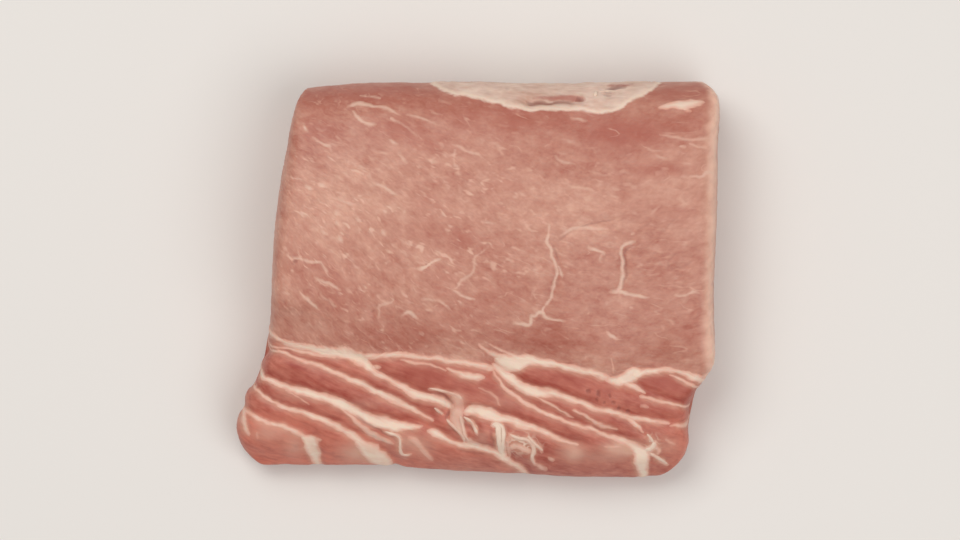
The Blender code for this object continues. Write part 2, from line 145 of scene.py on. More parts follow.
# ---------------------------------------------------------------- fat, read off the flap
# Each line is its points (x, y, half width there) and its tone, from 0 rosy to 1 white. Points past
# the front edge or an end run on down that side.
FLAP_FAT = [
    ([(5.5, -30.3, 0.9), (8.2, -32, 1.3), (11.2, -33.8, 0.8)], 1),
    # the seam between the eye and the flap
    ([(-84, -16.5, 0.8), (-76.5, -19, 0.8), (-66.9, -23.1, 1), (-59.7, -24.5, 1.35), (-52.5, -26.1, 1.85),
      (-46.9, -26.3, 2.15), (-42.7, -28, 2.35), (-39.8, -29.2, 1.6)], 1),
    ([(-84, -22, 0.3), (-76.6, -23.1, 0.3), (-73.7, -24.3, 0.35), (-68.4, -24.5, 0.4),
      (-59.6, -26.6, 0.5), (-55.5, -27, 0.5), (-50.7, -28.1, 0.35)], 0.8),
    ([(-41.2, -27.6, 1.05), (-31.1, -27.1, 0.85), (-25.6, -26.8, 0.8), (-20.4, -28, 0.8),
      (-15.8, -27.9, 0.8), (-11.4, -29, 0.85), (-7, -29.3, 0.9), (5.6, -31.8, 1.2)], 0.9),
    ([(-27.7, -28.8, 0.3), (-20.4, -30, 0.4), (-16.9, -30.4, 0.4), (-11.1, -32.7, 0.25)], 0.55),
    ([(-11.2, -31.6, 0.35), (-6.1, -33.9, 0.8), (-3.6, -34.4, 1.3), (-0.3, -35, 1.35),
      (2.4, -34.6, 0.55)], 0.85),
    ([(0.3, -23.1, 0.35), (2.4, -25, 0.65), (6.8, -27.1, 0.9), (9.2, -28.5, 1.45)], 0.9),
    ([(4.2, -22.7, 0.3), (7.5, -25, 0.45), (15.1, -27.4, 0.3)], 0.6),
    ([(6.9, -28.3, 1.6), (9.7, -29.3, 2.9), (13.1, -30, 3.3), (16.8, -28.9, 2.3), (21.5, -29.3, 1.6),
      (28, -30.4, 1.1), (36, -32.3, 1.1), (40.3, -33.1, 1.15), (46.6, -35.3, 0.95)], 1),
    ([(46, -35.8, 0.9), (48.2, -36.2, 1.5), (53.4, -35.3, 2.2), (56, -33.5, 2.5), (58.5, -33.3, 1.4),
      (65.3, -32.3, 0.9), (70.8, -32.7, 0.85), (77.9, -35.2, 1.3), (84.3, -37.6, 0.55)], 1),
    ([(51, -36.3, 0.55), (53.9, -37.6, 1), (58.5, -39.7, 0.7), (59.8, -40.7, 0.35)], 0.85),
    ([(68.6, -34.2, 0.35), (79.3, -38.8, 0.45)], 0.9),
    ([(47.4, -28, 0.2), (48.7, -33.4, 0.35)], 0.5),
    # left half, upper to lower
    ([(-43.6, -28.4, 1.8), (-41.2, -29.3, 1.8), (-37, -33, 0.95), (-30.9, -36.3, 0.8), (-25.9, -39, 1.15),
      (-23, -40.9, 1.35), (-13.1, -43.4, 1.5), (-10.7, -44.7, 1.2), (-8.8, -46.1, 0.55)], 0.95),
    ([(-37.4, -31.3, 0.65), (-34.7, -31.4, 0.55)], 0.7),
    ([(-79.1, -25.1, 0.35), (-75.9, -25.1, 0.35), (-73.5, -25.7, 0.35), (-70.6, -25.8, 0.45),
      (-65.2, -28.1, 0.5), (-54.4, -31.7, 0.7), (-43.6, -36.5, 0.85), (-40, -37.9, 0.95),
      (-37.5, -39.5, 1.05), (-32.1, -42, 1.3), (-15.7, -50.6, 0.45)], 0.9),
    ([(-83.9, -29.4, 0.7), (-78.5, -33.1, 1.05), (-77.3, -35.2, 1.05), (-74.4, -36.2, 0.95),
      (-68.5, -38.7, 1), (-61.3, -40.4, 1.45), (-58, -41.6, 1.45), (-54.5, -42.3, 1.5),
      (-48.2, -44.8, 1.8), (-42.4, -47.8, 1.65), (-36.8, -50.9, 2.15), (-33.1, -51.5, 2.25),
      (-29.1, -52.8, 2), (-25.8, -52.6, 1.45), (-22, -53, 0.8), (-19.7, -52.7, 0.35)], 1),
    ([(-49.1, -45.8, 0.45), (-40.6, -53.3, 0.85), (-35.5, -56.9, 1.05), (-30, -58.9, 0.45)], 0.6),
    ([(-68.7, -39.9, 0.25), (-66, -41.1, 0.35), (-60.3, -44.9, 0.2)], 0.45),
    ([(-85.3, -32.9, 0.45), (-82.5, -35.1, 0.45), (-80.4, -39.6, 0.45), (-78.6, -40.3, 0.55),
      (-76.4, -42.2, 0.55), (-57.8, -49.4, 1.05), (-48, -53.9, 1.05), (-38.1, -60.3, 1.45),
      (-35.6, -60.5, 0.9)], 0.9),
    ([(-43.5, -58.2, 1.05), (-40.9, -60.3, 2.35), (-38, -62.4, 3.2), (-35.1, -64.8, 3.4),
      (-33.3, -66.7, 2.7), (-31.6, -74, 0.7)], 0.85),
    ([(-88.9, -42.2, 0.5), (-86.1, -44, 0.55), (-84.1, -47.5, 0.6), (-81.8, -48.2, 0.6),
      (-76.6, -51.4, 0.65), (-72.3, -52, 0.65), (-63.5, -55.8, 0.8), (-60.6, -57.2, 0.9),
      (-56.1, -57.9, 0.45)], 0.9),
    ([(-62.7, -56.8, 1.05), (-60.5, -58.1, 2.7), (-59.7, -60, 2.7), (-58.2, -64.9, 1.8),
      (-58, -75.4, 0.55)], 0.85),
    ([(-84, -47.5, 0.9), (-83.9, -51.9, 1), (-83.4, -54.5, 0.75), (-82, -56.3, 0.4)], 0.9),
    ([(-79.3, -54.9, 0.45), (-79, -56.9, 0.45)], 0.3),
    ([(-24.7, -56.8, 0.9), (-22.1, -58.3, 1.05), (-19.9, -60.9, 1), (-15.9, -65.3, 0.45)], 0.4),
    # the torn middle, as far as it lies flat on the meat
    ([(-4.7, -47.6, 1.05), (-1.7, -46.9, 2.15), (3.7, -48, 2.15), (6.6, -49.4, 1.8), (9.8, -49.9, 1.45),
      (16.8, -52.4, 1.25), (20.3, -53.3, 1.05), (34.1, -59, 0.45), (36.1, -59.5, 0.3)], 1),
    ([(-17.6, -53.9, 0.9), (-15.5, -55, 1.6), (-10.9, -57.4, 0.85), (-8.3, -58.8, 0.85),
      (0.4, -60.3, 1.3), (5.6, -61.8, 1.05), (9.5, -64.3, 1.3), (18.3, -71.4, 0.7),
      (19.7, -75.4, 0.35)], 0.95),
    ([(-4.8, -56.8, 0.7), (-3, -58, 1.25), (-1.2, -58.9, 1.25), (1.3, -59.8, 0.7)], 0.6),
    ([(-8.6, -42.3, 1.05), (-7.2, -43.4, 1.95), (-6, -44.8, 1.6)], 0.3),
    ([(-7.2, -45, 2.35), (-7.4, -47.8, 2.5), (-7.6, -50.1, 2.1), (-4.5, -57.6, 0.8)], 0.45),
    ([(5, -52.3, 0.85), (6.6, -51.8, 1.05), (8.1, -53.1, 1.6), (8.2, -55.2, 1.9), (8.9, -64.3, 1.6)], 1),
    ([(11.3, -60.8, 0.7), (13.5, -59.6, 0.9), (17.4, -61.4, 0.9), (19.3, -62, 0.55)], 0.7),
    ([(11.1, -56.3, 0.55), (10.8, -58.1, 0.7), (11.5, -63.7, 0.55)], 0.5),
    ([(20.9, -66, 0.45), (22.9, -67.8, 0.65), (24.7, -68.6, 0.8)], 0.55),
    ([(25.4, -63.9, 0.65), (27.2, -65, 0.65)], 0.6),
    ([(0.2, -38.7, 0.25), (3.2, -39.8, 0.4), (7.2, -43, 0.4), (8.1, -45.5, 0.3)], 0.3),
    # right half, upper to lower
    ([(6.1, -30.9, 1.2), (8.3, -32.4, 1.45), (10.4, -34.6, 1.45), (12.8, -36.3, 1.5), (15.4, -38.4, 1.7),
      (19.8, -40, 1.85), (29.8, -41.4, 1.2), (33.2, -43.1, 1), (36.8, -43.7, 0.85), (40.2, -45.6, 0.8),
      (43.8, -46.8, 0.7), (47.5, -47.1, 0.7), (56.3, -49.9, 0.8), (58.8, -50, 0.6), (62.6, -50.8, 0.55),
      (68.7, -51.5, 0.45)], 1),
    ([(69, -52.4, 0.45), (74.4, -52.4, 0.7), (78, -51.2, 0.55)], 0.7),
    ([(50.1, -48.1, 0.55), (56.5, -51.9, 0.8), (59.3, -54.9, 0.35)], 0.75),
    ([(57.8, -41.8, 0.55), (76.5, -46.2, 0.35)], 0.8),
    ([(58.1, -45.4, 0.45), (61.2, -45.6, 0.35)], 0.35),
    ([(19.4, -41.1, 0.35), (34.5, -49.4, 0.35)], 0.6),
    ([(33.5, -46.5, 0.3), (39.7, -49.5, 0.55), (42.5, -51.4, 0.7), (49.9, -53.7, 0.35)], 0.7),
    ([(5.4, -32.9, 0.45), (8, -36.3, 0.55), (9.4, -38.7, 0.65), (15, -42.5, 0.7), (17.2, -44.5, 0.65),
      (20, -45.8, 0.6), (26, -48.7, 0.65), (29.5, -49.7, 0.65), (32.4, -51.5, 0.65), (35.2, -51.9, 0.65),
      (38.2, -53.3, 0.55), (41.1, -53.4, 0.65), (43.8, -54.9, 0.7), (49.8, -57.2, 0.8),
      (55.4, -59.6, 1.45), (59.8, -62.5, 1.95)], 0.85),
    ([(56.9, -61.1, 1.8), (58.8, -63.3, 2.85), (58.7, -66.2, 2.35), (59.6, -68.6, 1.95),
      (59.8, -75.4, 0.9)], 1),
    ([(59.8, -61.7, 1.45), (63.4, -59.6, 1.05), (63.8, -58, 0.55)], 0.95),
    ([(63.8, -60.2, 0.55), (65, -61.4, 0.55), (64.7, -62.9, 0.45)], 0.7),
    ([(67.5, -57.7, 0.45), (71.2, -59.3, 0.35)], 0.4),
    ([(45.5, -60.1, 0.2), (48.1, -59.8, 0.3), (51.7, -60.4, 0.2)], 0.5),
]

# ---------------------------------------------------------------- torn strands, read off the flap
# Each strand: its points (x, y, half width there), how far its middle stands off the meat, and its
# tone from 0 rosy to 1 white. A wide one is a band of cords side by side.
TORN_STRANDS = [
    ([(-11.2, -49.8, 0.35), (-9.5, -51.6, 0.6), (-7.7, -53.4, 0.65), (-6.1, -55, 0.6), (-5, -56.7, 0.5),
      (-4.5, -58.5, 0.35)], 0.15, 0.5),
    ([(-6.2, -48.3, 0.4), (-5.5, -50.9, 0.6), (-5, -53.4, 0.6), (-4.5, -55.9, 0.55),
      (-3, -57.8, 0.35)], 0.12, 0.45),
    ([(-5.2, -48.9, 0.35), (-3.4, -50, 0.6), (-2, -51, 0.65), (-1.2, -52.7, 0.6), (-0.5, -54.1, 0.55),
      (0, -55.2, 0.3)], 0.2, 0.65),
    ([(-17.6, -38.7, 0.25), (-14.8, -39.2, 0.45), (-11.9, -39.9, 0.5), (-9.1, -40.6, 0.5),
      (-6.9, -41.5, 0.5), (-5.5, -42.8, 0.35)], 0.1, 0.4),
    ([(-15.5, -45.8, 0.3), (-14.1, -46.9, 0.5), (-12.3, -48.3, 0.35)], 0.1, 0.5),
    ([(-33.8, -54.1, 0.25), (-31.3, -55, 0.45), (-29.1, -55.8, 0.5), (-27.9, -57, 0.45),
      (-27.7, -58.9, 0.45), (-27.7, -60.7, 0.45), (-27.1, -62.6, 0.5), (-25.3, -63.1, 0.45),
      (-23.8, -62.9, 0.25)], 0.05, 0.7),
    ([(5.2, -52.1, 0.6), (6.6, -51.6, 0.9), (7.9, -52.7, 1.35), (8.2, -55.2, 1.6), (8.2, -58.1, 1.6),
      (8.4, -61.1, 1.4), (9, -63.6, 1)], 0.05, 0.95),
    ([(10.9, -54.9, 0.3), (12.7, -55.9, 0.5), (14.8, -56.7, 0.5), (17, -57, 0.6), (18.8, -58, 0.7),
      (19.9, -59.6, 0.8), (20.1, -61.4, 0.7), (19.6, -63.3, 0.5), (19.9, -65.2, 0.5),
      (21.4, -66.7, 0.3)], 0.05, 0.6),
    ([(17.9, -55.8, 0.3), (19.5, -57.6, 0.55), (21.3, -59.4, 0.6), (23.5, -61.4, 0.4)], 0.15, 0.6),
    ([(60.6, -55.2, 0.25), (61.9, -56.7, 0.45), (63, -58.5, 0.45)], 0.05, 0.8),
    ([(59.6, -61.4, 0.8), (61.8, -60.5, 0.9), (63.2, -59, 0.8), (63.5, -57.6, 0.35)], 0, 0.9),
    ([(61.8, -62.2, 0.6), (64, -63.5, 0.6), (66.3, -65, 0.6), (68.5, -66.5, 0.35)], 0, 0.7),
    ([(41.8, 65.2, 0.5), (42.1, 66.2, 0.55), (42.5, 67.2, 0.3)], 0.4, 1),
    ([(43.2, 66.9, 0.3), (46, 67.2, 0.5), (49.4, 67.3, 0.3)], 0.1, 0.8),
]
# The flat fat under the flap's rosier strands is a little wider than they are.
FLAP_FAT += [([(x + 0.1, y - 0.3, 0.1 + 1.1 * half) for x, y, half in points], tone + 0.05)
             for points, _, tone in TORN_STRANDS if tone < 0.85 and points[0][1] < 0]

# ---------------------------------------------------------------- veins, read off the eye
# Lines as in the flap.
EYE_VEINS = [
    ([(25.5, 20, 0.2), (25, 16, 0.3), (24.6, 13.5, 0.45), (25.5, 12, 0.5), (26, 9, 0.45), (28.2, 2, 0.4),
      (27.3, 0, 0.35), (27, -2.5, 0.35), (25.3, -7.5, 0.3), (22.8, -11, 0.25)], 0.8),
    ([(28.5, 5, 0.35), (30.3, 0.3, 0.25)], 0.7),
    ([(29.5, 15.5, 0.35), (35, 18.5, 0.55), (38, 18.3, 0.5), (46, 18, 0.3)], 0.6),
    ([(39, 11.3, 0.45), (44, 9.6, 0.6), (45.2, 8.6, 0.45)], 0.8),
    ([(44.5, 9, 0.35), (43.3, 7, 0.3), (44.5, 5.8, 0.25)], 0.6),
    ([(56, 13.6, 0.25), (53, 13, 0.4), (51.2, 11.5, 0.4), (51.4, 6, 0.45), (49.5, -4, 0.65),
      (47.3, -4.4, 0.55)], 0.85),
    ([(47, -4.3, 0.6), (50, -4, 0.6), (52, -4.8, 0.55), (61, -6.5, 0.35)], 0.8),
    ([(54.5, 16.2, 0.5), (55.6, 16.3, 0.35)], 0.5),
    ([(12.5, -15.3, 0.3), (16.5, -15.9, 0.45), (18.5, -16, 0.5), (19.3, -12.8, 0.5), (20.8, -12.8, 0.55),
      (21.5, -11.8, 0.55), (22.8, -11.7, 0.5), (23.8, -13, 0.45), (31, -15, 0.25)], 0.85),
    ([(70, -5.5, 0.25), (73, -5.8, 0.4), (77.5, -4.3, 0.4), (79, -4.6, 0.3)], 0.8),
    ([(45.7, -18.3, 0.25), (47, -19.8, 0.4), (50, -21.5, 0.3)], 0.8),
    ([(65.5, -16.2, 0.35), (66.5, -18, 0.25)], 0.4),
    ([(70.5, -20.3, 0.25), (72.5, -21, 0.3)], 0.4),
    ([(54.2, -9.8, 0.35), (55.2, -10.4, 0.25)], 0.4),
    ([(16.5, 2, 0.2), (20, 4.8, 0.2)], 0.3),
    ([(18, -2.5, 0.2), (20.5, -3, 0.25), (19.4, -5, 0.25), (19, -7, 0.2)], 0.3),
    ([(-66.5, 7.8, 0.3), (-58, 6.3, 0.35), (-56, 6.2, 0.3), (-53, 2.5, 0.25)], 0.7),
    ([(-58, 0.8, 0.3), (-48.5, -3.8, 0.5)], 0.7),
    ([(-63, -4.5, 0.2), (-59, -8.5, 0.35), (-55.8, -10.8, 0.25)], 0.7),
    ([(-56, -4.5, 0.2), (-55, -6, 0.25), (-52.3, -7.9, 0.2)], 0.5),
    ([(-44.5, 5.2, 0.35), (-42, 4.2, 0.25)], 0.6),
    ([(-42.5, -3, 0.3), (-39.8, -4.6, 0.25)], 0.8),
    ([(-21.5, 3.9, 0.6), (-20, 3.8, 0.65), (-15, 6.8, 0.4), (-13, 7.5, 0.25)], 0.9),
    ([(4, 11.5, 0.2), (-1, 7.5, 0.3), (-1.5, 2.8, 0.5), (-6, -0.8, 0.4), (-7.5, -2.8, 0.35),
      (-9, -3.2, 0.3)], 0.5),
    ([(-8.8, -3.4, 0.3), (-3, -6.7, 0.3), (-0.6, -7, 0.2)], 0.8),
    ([(-35, -14, 0.25), (-35, -11, 0.35), (-35.3, -9.8, 0.45), (-30.2, -7.5, 0.35),
      (-30.2, -5, 0.25)], 0.5),
    ([(-27, -12.8, 0.35), (-24.5, -11.8, 0.5), (-21, -14, 0.3)], 0.85),
    ([(-19.5, -6.8, 0.2), (-17, -7.3, 0.2), (-14, -7.3, 0.25), (-9.8, -10.5, 0.25)], 0.6),
    ([(1, 20.6, 0.25), (5.7, 19.8, 0.2)], 0.6),
    ([(-46.5, 61.6, 0.35), (-44, 62.3, 0.85), (-38.5, 62, 0.55), (-34, 61.3, 0.35),
      (-27.5, 58.5, 0.2)], 0.8),
    ([(-42, 65.8, 0.2), (-34.5, 64.6, 0.1)], 0.4),
    ([(-44.5, 59.8, 0.25), (-38.5, 55, 0.55), (-36, 54.8, 0.3)], 0.75),
    ([(-58.8, 50.6, 0.25), (-54.3, 48, 0.35), (-52.2, 47.2, 0.3), (-51.8, 45.3, 0.2)], 0.6),
    ([(-53, 43.8, 0.35), (-51.5, 42.2, 0.3)], 0.5),
    ([(-25, 58.8, 0.25), (-19, 57, 0.35), (-14.6, 55, 0.2)], 0.6),
    ([(-31, 57.2, 0.2), (-25, 54, 0.3), (-21, 50.8, 0.25)], 0.4),
    ([(-36, 45.5, 0.3), (-31, 44.2, 0.25)], 0.5),
    ([(-38.5, 43.6, 0.35), (-36.3, 42, 0.3)], 0.5),
    ([(-28, 45, 0.25), (-25.2, 41, 0.55)], 0.6),
    ([(-42, 40.3, 0.3), (-39, 39.2, 0.3)], 0.6),
    ([(-50.5, 36.8, 0.25), (-47.8, 35.2, 0.3)], 0.5),
    ([(-37, 34.4, 0.2), (-29.5, 30.5, 0.45), (-28.3, 29.5, 0.6)], 0.7),
    ([(-53, 29.2, 0.25), (-50, 28.8, 0.3), (-44.5, 26.8, 0.45), (-42.5, 26.7, 0.55)], 0.5),
    ([(-14, 63.8, 0.3), (-9.5, 62.4, 0.25)], 0.5),
    ([(-16.5, 59.3, 0.25), (-12.5, 58.5, 0.2)], 0.5),
    ([(-9, 47.6, 0.45), (-6.5, 47.2, 0.4), (-4, 45.8, 0.35), (-1, 44.6, 0.3), (1, 43.8, 0.3),
      (1.5, 42.8, 0.25)], 0.6),
    ([(-8, 46, 0.25), (-8.2, 41, 0.25), (-6.5, 39.8, 0.3)], 0.4),
    ([(-7, 33.5, 0.45), (-6, 32, 0.5), (-6.2, 30.2, 0.5)], 0.4),
    ([(-18.5, 43.5, 0.35), (-16, 41.8, 0.5), (-13.8, 41, 0.3)], 0.5),
    ([(1, 49.8, 0.45), (2.5, 49.3, 0.3)], 0.4),
    ([(4.5, 48.7, 0.2), (7, 48, 0.25), (8.5, 46.8, 0.25), (10, 46.2, 0.2)], 0.4),
    ([(27.3, 43.8, 0.3), (29, 42.6, 0.35), (34.5, 40.8, 0.2)], 0.5),
    ([(30, 50, 0.35), (35, 48.4, 0.3)], 0.4),
    ([(32, 33.2, 0.35), (40, 31.8, 0.4), (42, 30.7, 0.25)], 0.45),
    ([(33, 57.5, 0.3), (39, 56.5, 0.2)], 0.6),
    ([(39.5, 38.6, 0.25), (45, 37, 0.3), (47, 37, 0.25)], 0.35),
    ([(63, 44.2, 0.3), (67.3, 42.8, 0.25)], 0.5),
    ([(72, 47.5, 0.5), (73.6, 46.5, 0.35)], 0.6),
    ([(64.5, 51.5, 0.25), (72, 50.3, 0.35), (75.5, 49.5, 0.5), (78.5, 50.2, 0.7), (82, 50.4, 0.5)], 0.5),
    ([(75, 48, 0.25), (78, 47.2, 0.3), (81, 46.8, 0.3), (82, 46.3, 0.25)], 0.5),
    ([(75.5, 36.7, 0.25), (79.5, 36.8, 0.45), (82, 38, 0.8), (85, 37.5, 0.5)], 0.7),
    ([(12, 52.2, 0.3), (14.5, 51.8, 0.25)], 0.4),
    ([(82, 10.5, 0.6), (83.2, 12, 0.5)], 0.4),
    ([(61.3, 23.2, 0.3), (64.5, 26.5, 0.2)], 0.4),
]
# Plain flecks: where each starts and ends. They are widest in the middle.
FLECKS = [(-50.6, 24.3, -48.8, 22.9), (-33.5, 25, -32.5, 23.3), (-55.5, 17.4, -53.2, 15.8),
          (-30.7, 49.5, -28.2, 48.1), (-61, 33.4, -58, 32.2), (-56.4, 33.9, -53.4, 32.7),
          (-62.3, 55.6, -60.5, 52.4), (-43.1, 21.7, -41, 20.4), (-50.8, 20.6, -49, 19.4),
          (-32.6, 10.5, -30, 9.3), (-34.2, 17.6, -32.5, 15.5), (-49.4, 15.5, -47.6, 13)]
EYE_VEINS += [([(ax, ay, 0.4), ((ax + bx) / 2, (ay + by) / 2, 0.55), (bx, by, 0.4)], 0.9)
              for ax, ay, bx, by in FLECKS]

# The fat island near the back edge.
EYE_FAT = [
    ([(64.5, 61.2, 0.5), (67, 61.6, 1.1), (70, 61.9, 1.2), (73, 62.2, 1.7), (76, 62.6, 1.8),
      (80.3, 63, 0.6)], 1),
    ([(73.5, 60.6, 0.7), (75.8, 59.8, 0.4)], 0.6),
]

# ---------------------------------------------------------------- dark creases and spots: painted shade in creases, crevices and pits, and dark red spots
# Lines as in the flap; the last number is how dark each is.
DARK_LINES = [
    ([(27, 12, 0.55), (28.6, 6.3, 0.35)], 0.42),
    ([(28.6, 0.3, 0.5), (28.2, -2.6, 0.35)], 0.3),
    ([(36.5, 18.9, 0.3), (48.5, 21.5, 0.2)], 0.42),
    ([(28, 13.5, 0.3), (33, 16.9, 0.2)], 0.36),
    ([(54.8, 12.3, 0.35), (52.8, 10.5, 0.45), (52.6, 1, 0.45), (51.3, -3, 0.3)], 0.42),
    ([(45.8, 8.6, 0.35), (44.6, 7.2, 0.3)], 0.36),
    ([(20.5, -14.9, 0.4), (22.5, -13.9, 0.55), (23.6, -14.6, 0.35)], 0.36),
    ([(-64.9, 6.4, 0.5), (-64, 6.3, 0.4)], 1),
    ([(-66.6, 5.4, 0.35), (-64.8, 5.6, 0.3)], 0.3),
    ([(-37.8, -11.6, 0.35), (-36.2, -10.8, 0.2)], 0.3),
    ([(56, 16, 0.2), (57.5, 18, 0.35), (59.5, 19, 0.35), (62, 21.5, 0.3)], 0.18),
    ([(65.5, 17, 0.2), (71, 23, 0.3)], 0.21),
    ([(67.5, 3.5, 0.3), (68, 7, 0.4), (72, 10, 0.3)], 0.21),
    ([(69, 3.8, 0.35), (74, 5, 0.5), (76.5, 7, 0.3)], 0.24),
    ([(-40, 41, 0.35), (-39, 40.4, 0.3)], 0.3),
    ([(1.6, -19.6, 0.55), (3.2, -20.2, 0.35)], 0.24),
    # in the fat at the back edge
    ([(17, 63.4, 0.5), (18.5, 62.5, 0.65), (22, 62.7, 0.6), (25, 62.5, 0.55), (28, 63, 0.6),
      (34.5, 63, 0.4)], 0.8),
    ([(35.4, 64.1, 0.9), (37.4, 64.1, 0.6)], 1),
    ([(45, 65.7, 0.4), (47.5, 65.7, 0.5)], 0.6),
    ([(45.5, 67.5, 0.4), (50.5, 68.4, 0.8), (53, 68.7, 0.5)], 0.9),
    ([(10, 67.9, 0.4), (11, 67.4, 0.5)], 0.5),
    # in the flap
    ([(-62.1, -23.7, 0.2), (-52, -26.8, 0.2)], 0.35),
    ([(-43.2, -48.8, 0.3), (-40.9, -50.8, 0.35), (-32.1, -55.8, 0.4), (-28.6, -58.1, 0.3)], 0.55),
    ([(-15.8, -40.8, 0.3), (-11.3, -42, 0.5), (-9.3, -44.8, 0.3)], 0.7),
    ([(-10.4, -46.4, 0.45), (-10.5, -48, 0.65), (-11.6, -49.5, 0.45)], 0.9),
    ([(-10.7, -52.4, 0.2), (-6.7, -56.4, 0.2)], 0.4),
    ([(-5.9, -50.5, 0.3), (-4.2, -51.5, 0.45), (-1.5, -54.7, 0.25)], 0.5),
    ([(4.7, -53.7, 0.45), (5.4, -57.9, 0.3), (6.3, -60, 0.2)], 0.45),
    ([(-7.9, -60.7, 0.2), (-1.1, -62.6, 0.3), (2.4, -62.8, 0.2)], 0.45),
    ([(10.2, -58.2, 0.45), (10.6, -59.3, 0.45)], 0.5),
    ([(13.8, -58.7, 0.35), (14.4, -59.4, 0.35)], 0.45),
    ([(18.9, -58.2, 0.4), (20.1, -59.1, 0.4)], 0.5),
    ([(-4, -44.9, 0.25), (1.3, -44.7, 0.35), (5.5, -45.9, 0.4), (12.4, -48, 0.2)], 0.35),
    ([(41.2, -52.2, 0.35), (42.8, -53.1, 0.45), (43.6, -53.5, 0.2)], 0.5),
    ([(58.2, -31.2, 0.3), (62.5, -30.9, 0.2)], 0.4),
    ([(-82.7, -56.2, 0.45), (-81.7, -57.1, 0.45)], 0.6),
    ([(39.3, -39.6, 0.7), (39.9, -40.3, 0.7)], 1.4),
    ([(42.7, -39.6, 0.55), (43.4, -41.6, 0.55)], 1.1),
    ([(47, -41.6, 0.5), (47.5, -41.7, 0.5)], 1.4),
    ([(42.2, -42.9, 0.55), (42.5, -43.4, 0.55)], 1.2),
    ([(45.1, -43.7, 0.45), (45.6, -44.1, 0.45)], 1.2),
    ([(48.1, -43.7, 0.55), (48.7, -44.4, 0.55)], 1.2),
    ([(49.9, -45.8, 0.5), (50.7, -46.4, 0.5)], 1.4),
    ([(53.2, -47.1, 0.55), (54.3, -47.5, 0.55)], 1.3),
]

# The fat at the back edge: its lower boundary as (x, y), and how far down the back side it goes.
BACK_FAT_EDGE = [(-18, 71), (-13.5, 68.0), (-11, 66.7), (-8, 65.4), (-4, 65.0), (-1, 64.3), (3, 63.2),
                 (7, 62.4), (11, 61.3), (15, 60.5), (18, 59.8), (22, 60.1), (27, 59.9), (32, 60.0),
                 (38, 59.8), (43, 58.9), (47, 59.3), (50, 60.2), (52, 61.6), (54, 63.2), (57, 64.6),
                 (60, 66), (64, 69), (68, 72)]
BACK_FAT_FOOT = [(-18, 71), (-9, 76), (4, 86), (18, 90), (30, 83), (42, 80), (52, 86), (60, 79), (72, 72)]
BACK_FAT_ENDS = (-17.0, 67.0)
# Streaks of lean in it, as lines.
LEAN_IN_BACK_FAT = [
    ([(19.5, 64.4, 0.3), (31, 64.5, 0.9), (38.1, 64.2, 0.9)], 0.8),
    ([(46, 69.2, 0.3), (56, 69.4, 0.3)], 0.9),
    ([(-6, 72, 0.3), (2, 73.5, 0.9), (10, 73, 0.4)], 0.6),
    ([(16, 79, 0.4), (25, 77.5, 1.2), (34, 79, 0.4)], 0.8),
    ([(40, 74, 0.4), (46, 75.5, 0.9), (51, 75, 0.5)], 0.7),
    ([(8, 83, 0.4), (14, 84.5, 1), (20, 84, 0.5)], 0.7),
]

# Fibre direction in the eye: across = y + x (FLOW_SLOPE - FLOW_BEND x).
FLOW_SLOPE = 0.55
FLOW_BEND = 0.0035
FLAP_SLOPE = 0.40
# Spots as x, y, reach along X, reach along Y and strength: where the eye has more pale flecks, and
# where torn fat froths between the strands.
FLECKED = [(-50, 21, 14, 15, 0.7), (-28, 15, 10, 10, 0.3)]
FROTH = [(15.6, -58.8, 5, 3.2, 1.0), (62.5, -59, 2.5, 3, 0.7)]

# Height of the upper surface across the piece, as (y, z): what lies below it is cut end or side.
UPPER_PROFILE = [(-71, 10), (-70, 12), (-67, 18.5), (-61, 25.5), (-52, 30), (-42, 32.5), (-33, 33.6),
                 (-29, 33.8), (-20, 38.5), (-8, 42.5), (10, 45), (31, 46), (46, 45), (57, 42.4),
                 (64, 38), (68, 31), (70.5, 20)]

# Redder and paler regions, as spots.
RED_REGIONS = [
    (-38, 67, 26, 5, 0.75), (10, 62, 22, 4.5, 0.5), (50, 52, 17, 8, 0.75), (20, 56, 14, 4.5, 0.55),
    (-28, 54, 10, 5, 0.7), (-17, 48, 8, 4, 0.5), (11, 55, 5, 7, 0.5), (-56, 53, 7, 6, 0.5),
    (60, 53, 12, 4, 0.4), (64, 39, 11, 3, 0.7), (66, 24.5, 8, 3, 0.45), (-14, 12, 6, 3, 0.4),
    (12, 34, 7, 4, 0.35), (-50, -2, 5, 9, 0.35), (26, -16, 5, 4, 0.4), (-5, 15, 4, 5, 0.3),
    (70, 67, 16, 3.5, 0.8), (-5, 60, 14, 6, 0.35), (76, 57, 8, 5, 0.35), (-30, -20, 24, 5, 0.45),
    (22, -22, 22, 5, 0.45), (-42, -6, 7, 5, 0.25), (5, -9, 12, 6, 0.25), (-16, 18, 9, 4, 0.25),
    (40, 7, 9, 3, 0.3), (-62, 63, 8, 5, 0.25), (75, -18, 6, 5, 0.3), (-17, -14, 10, 6, 0.25),
    (60, -25, 20, 5, 0.25), (-36.4, 60.2, 5, 4, 0.25), (-4.4, 54.9, 4, 4, 0.3), (22, 46, 4, 4, 0.25),
    (47, 51.3, 5, 4, 0.25), (52.4, 31.8, 5, 4, 0.35), (-17, 28.3, 5, 5, 0.35), (-2.7, 15.8, 4, 5, 0.3),
    (-41.7, 17.6, 5, 5, 0.3), (-56, 7, 6, 6, 0.25), (8, 8.7, 4, 4, 0.25), (-13.3, 1.6, 6, 4, 0.3),
    (15, -3.7, 8, 5, 0.3), (61.3, -7.3, 6, 6, 0.3), (70, 7, 5, 4, 0.25), (75.5, 21.2, 4, 4, 0.3),
    (-50.6, -10.8, 8, 6, 0.2), (33, -10.8, 4, 5, 0.25), (-24, -24.5, 7, 3, 0.3),
]
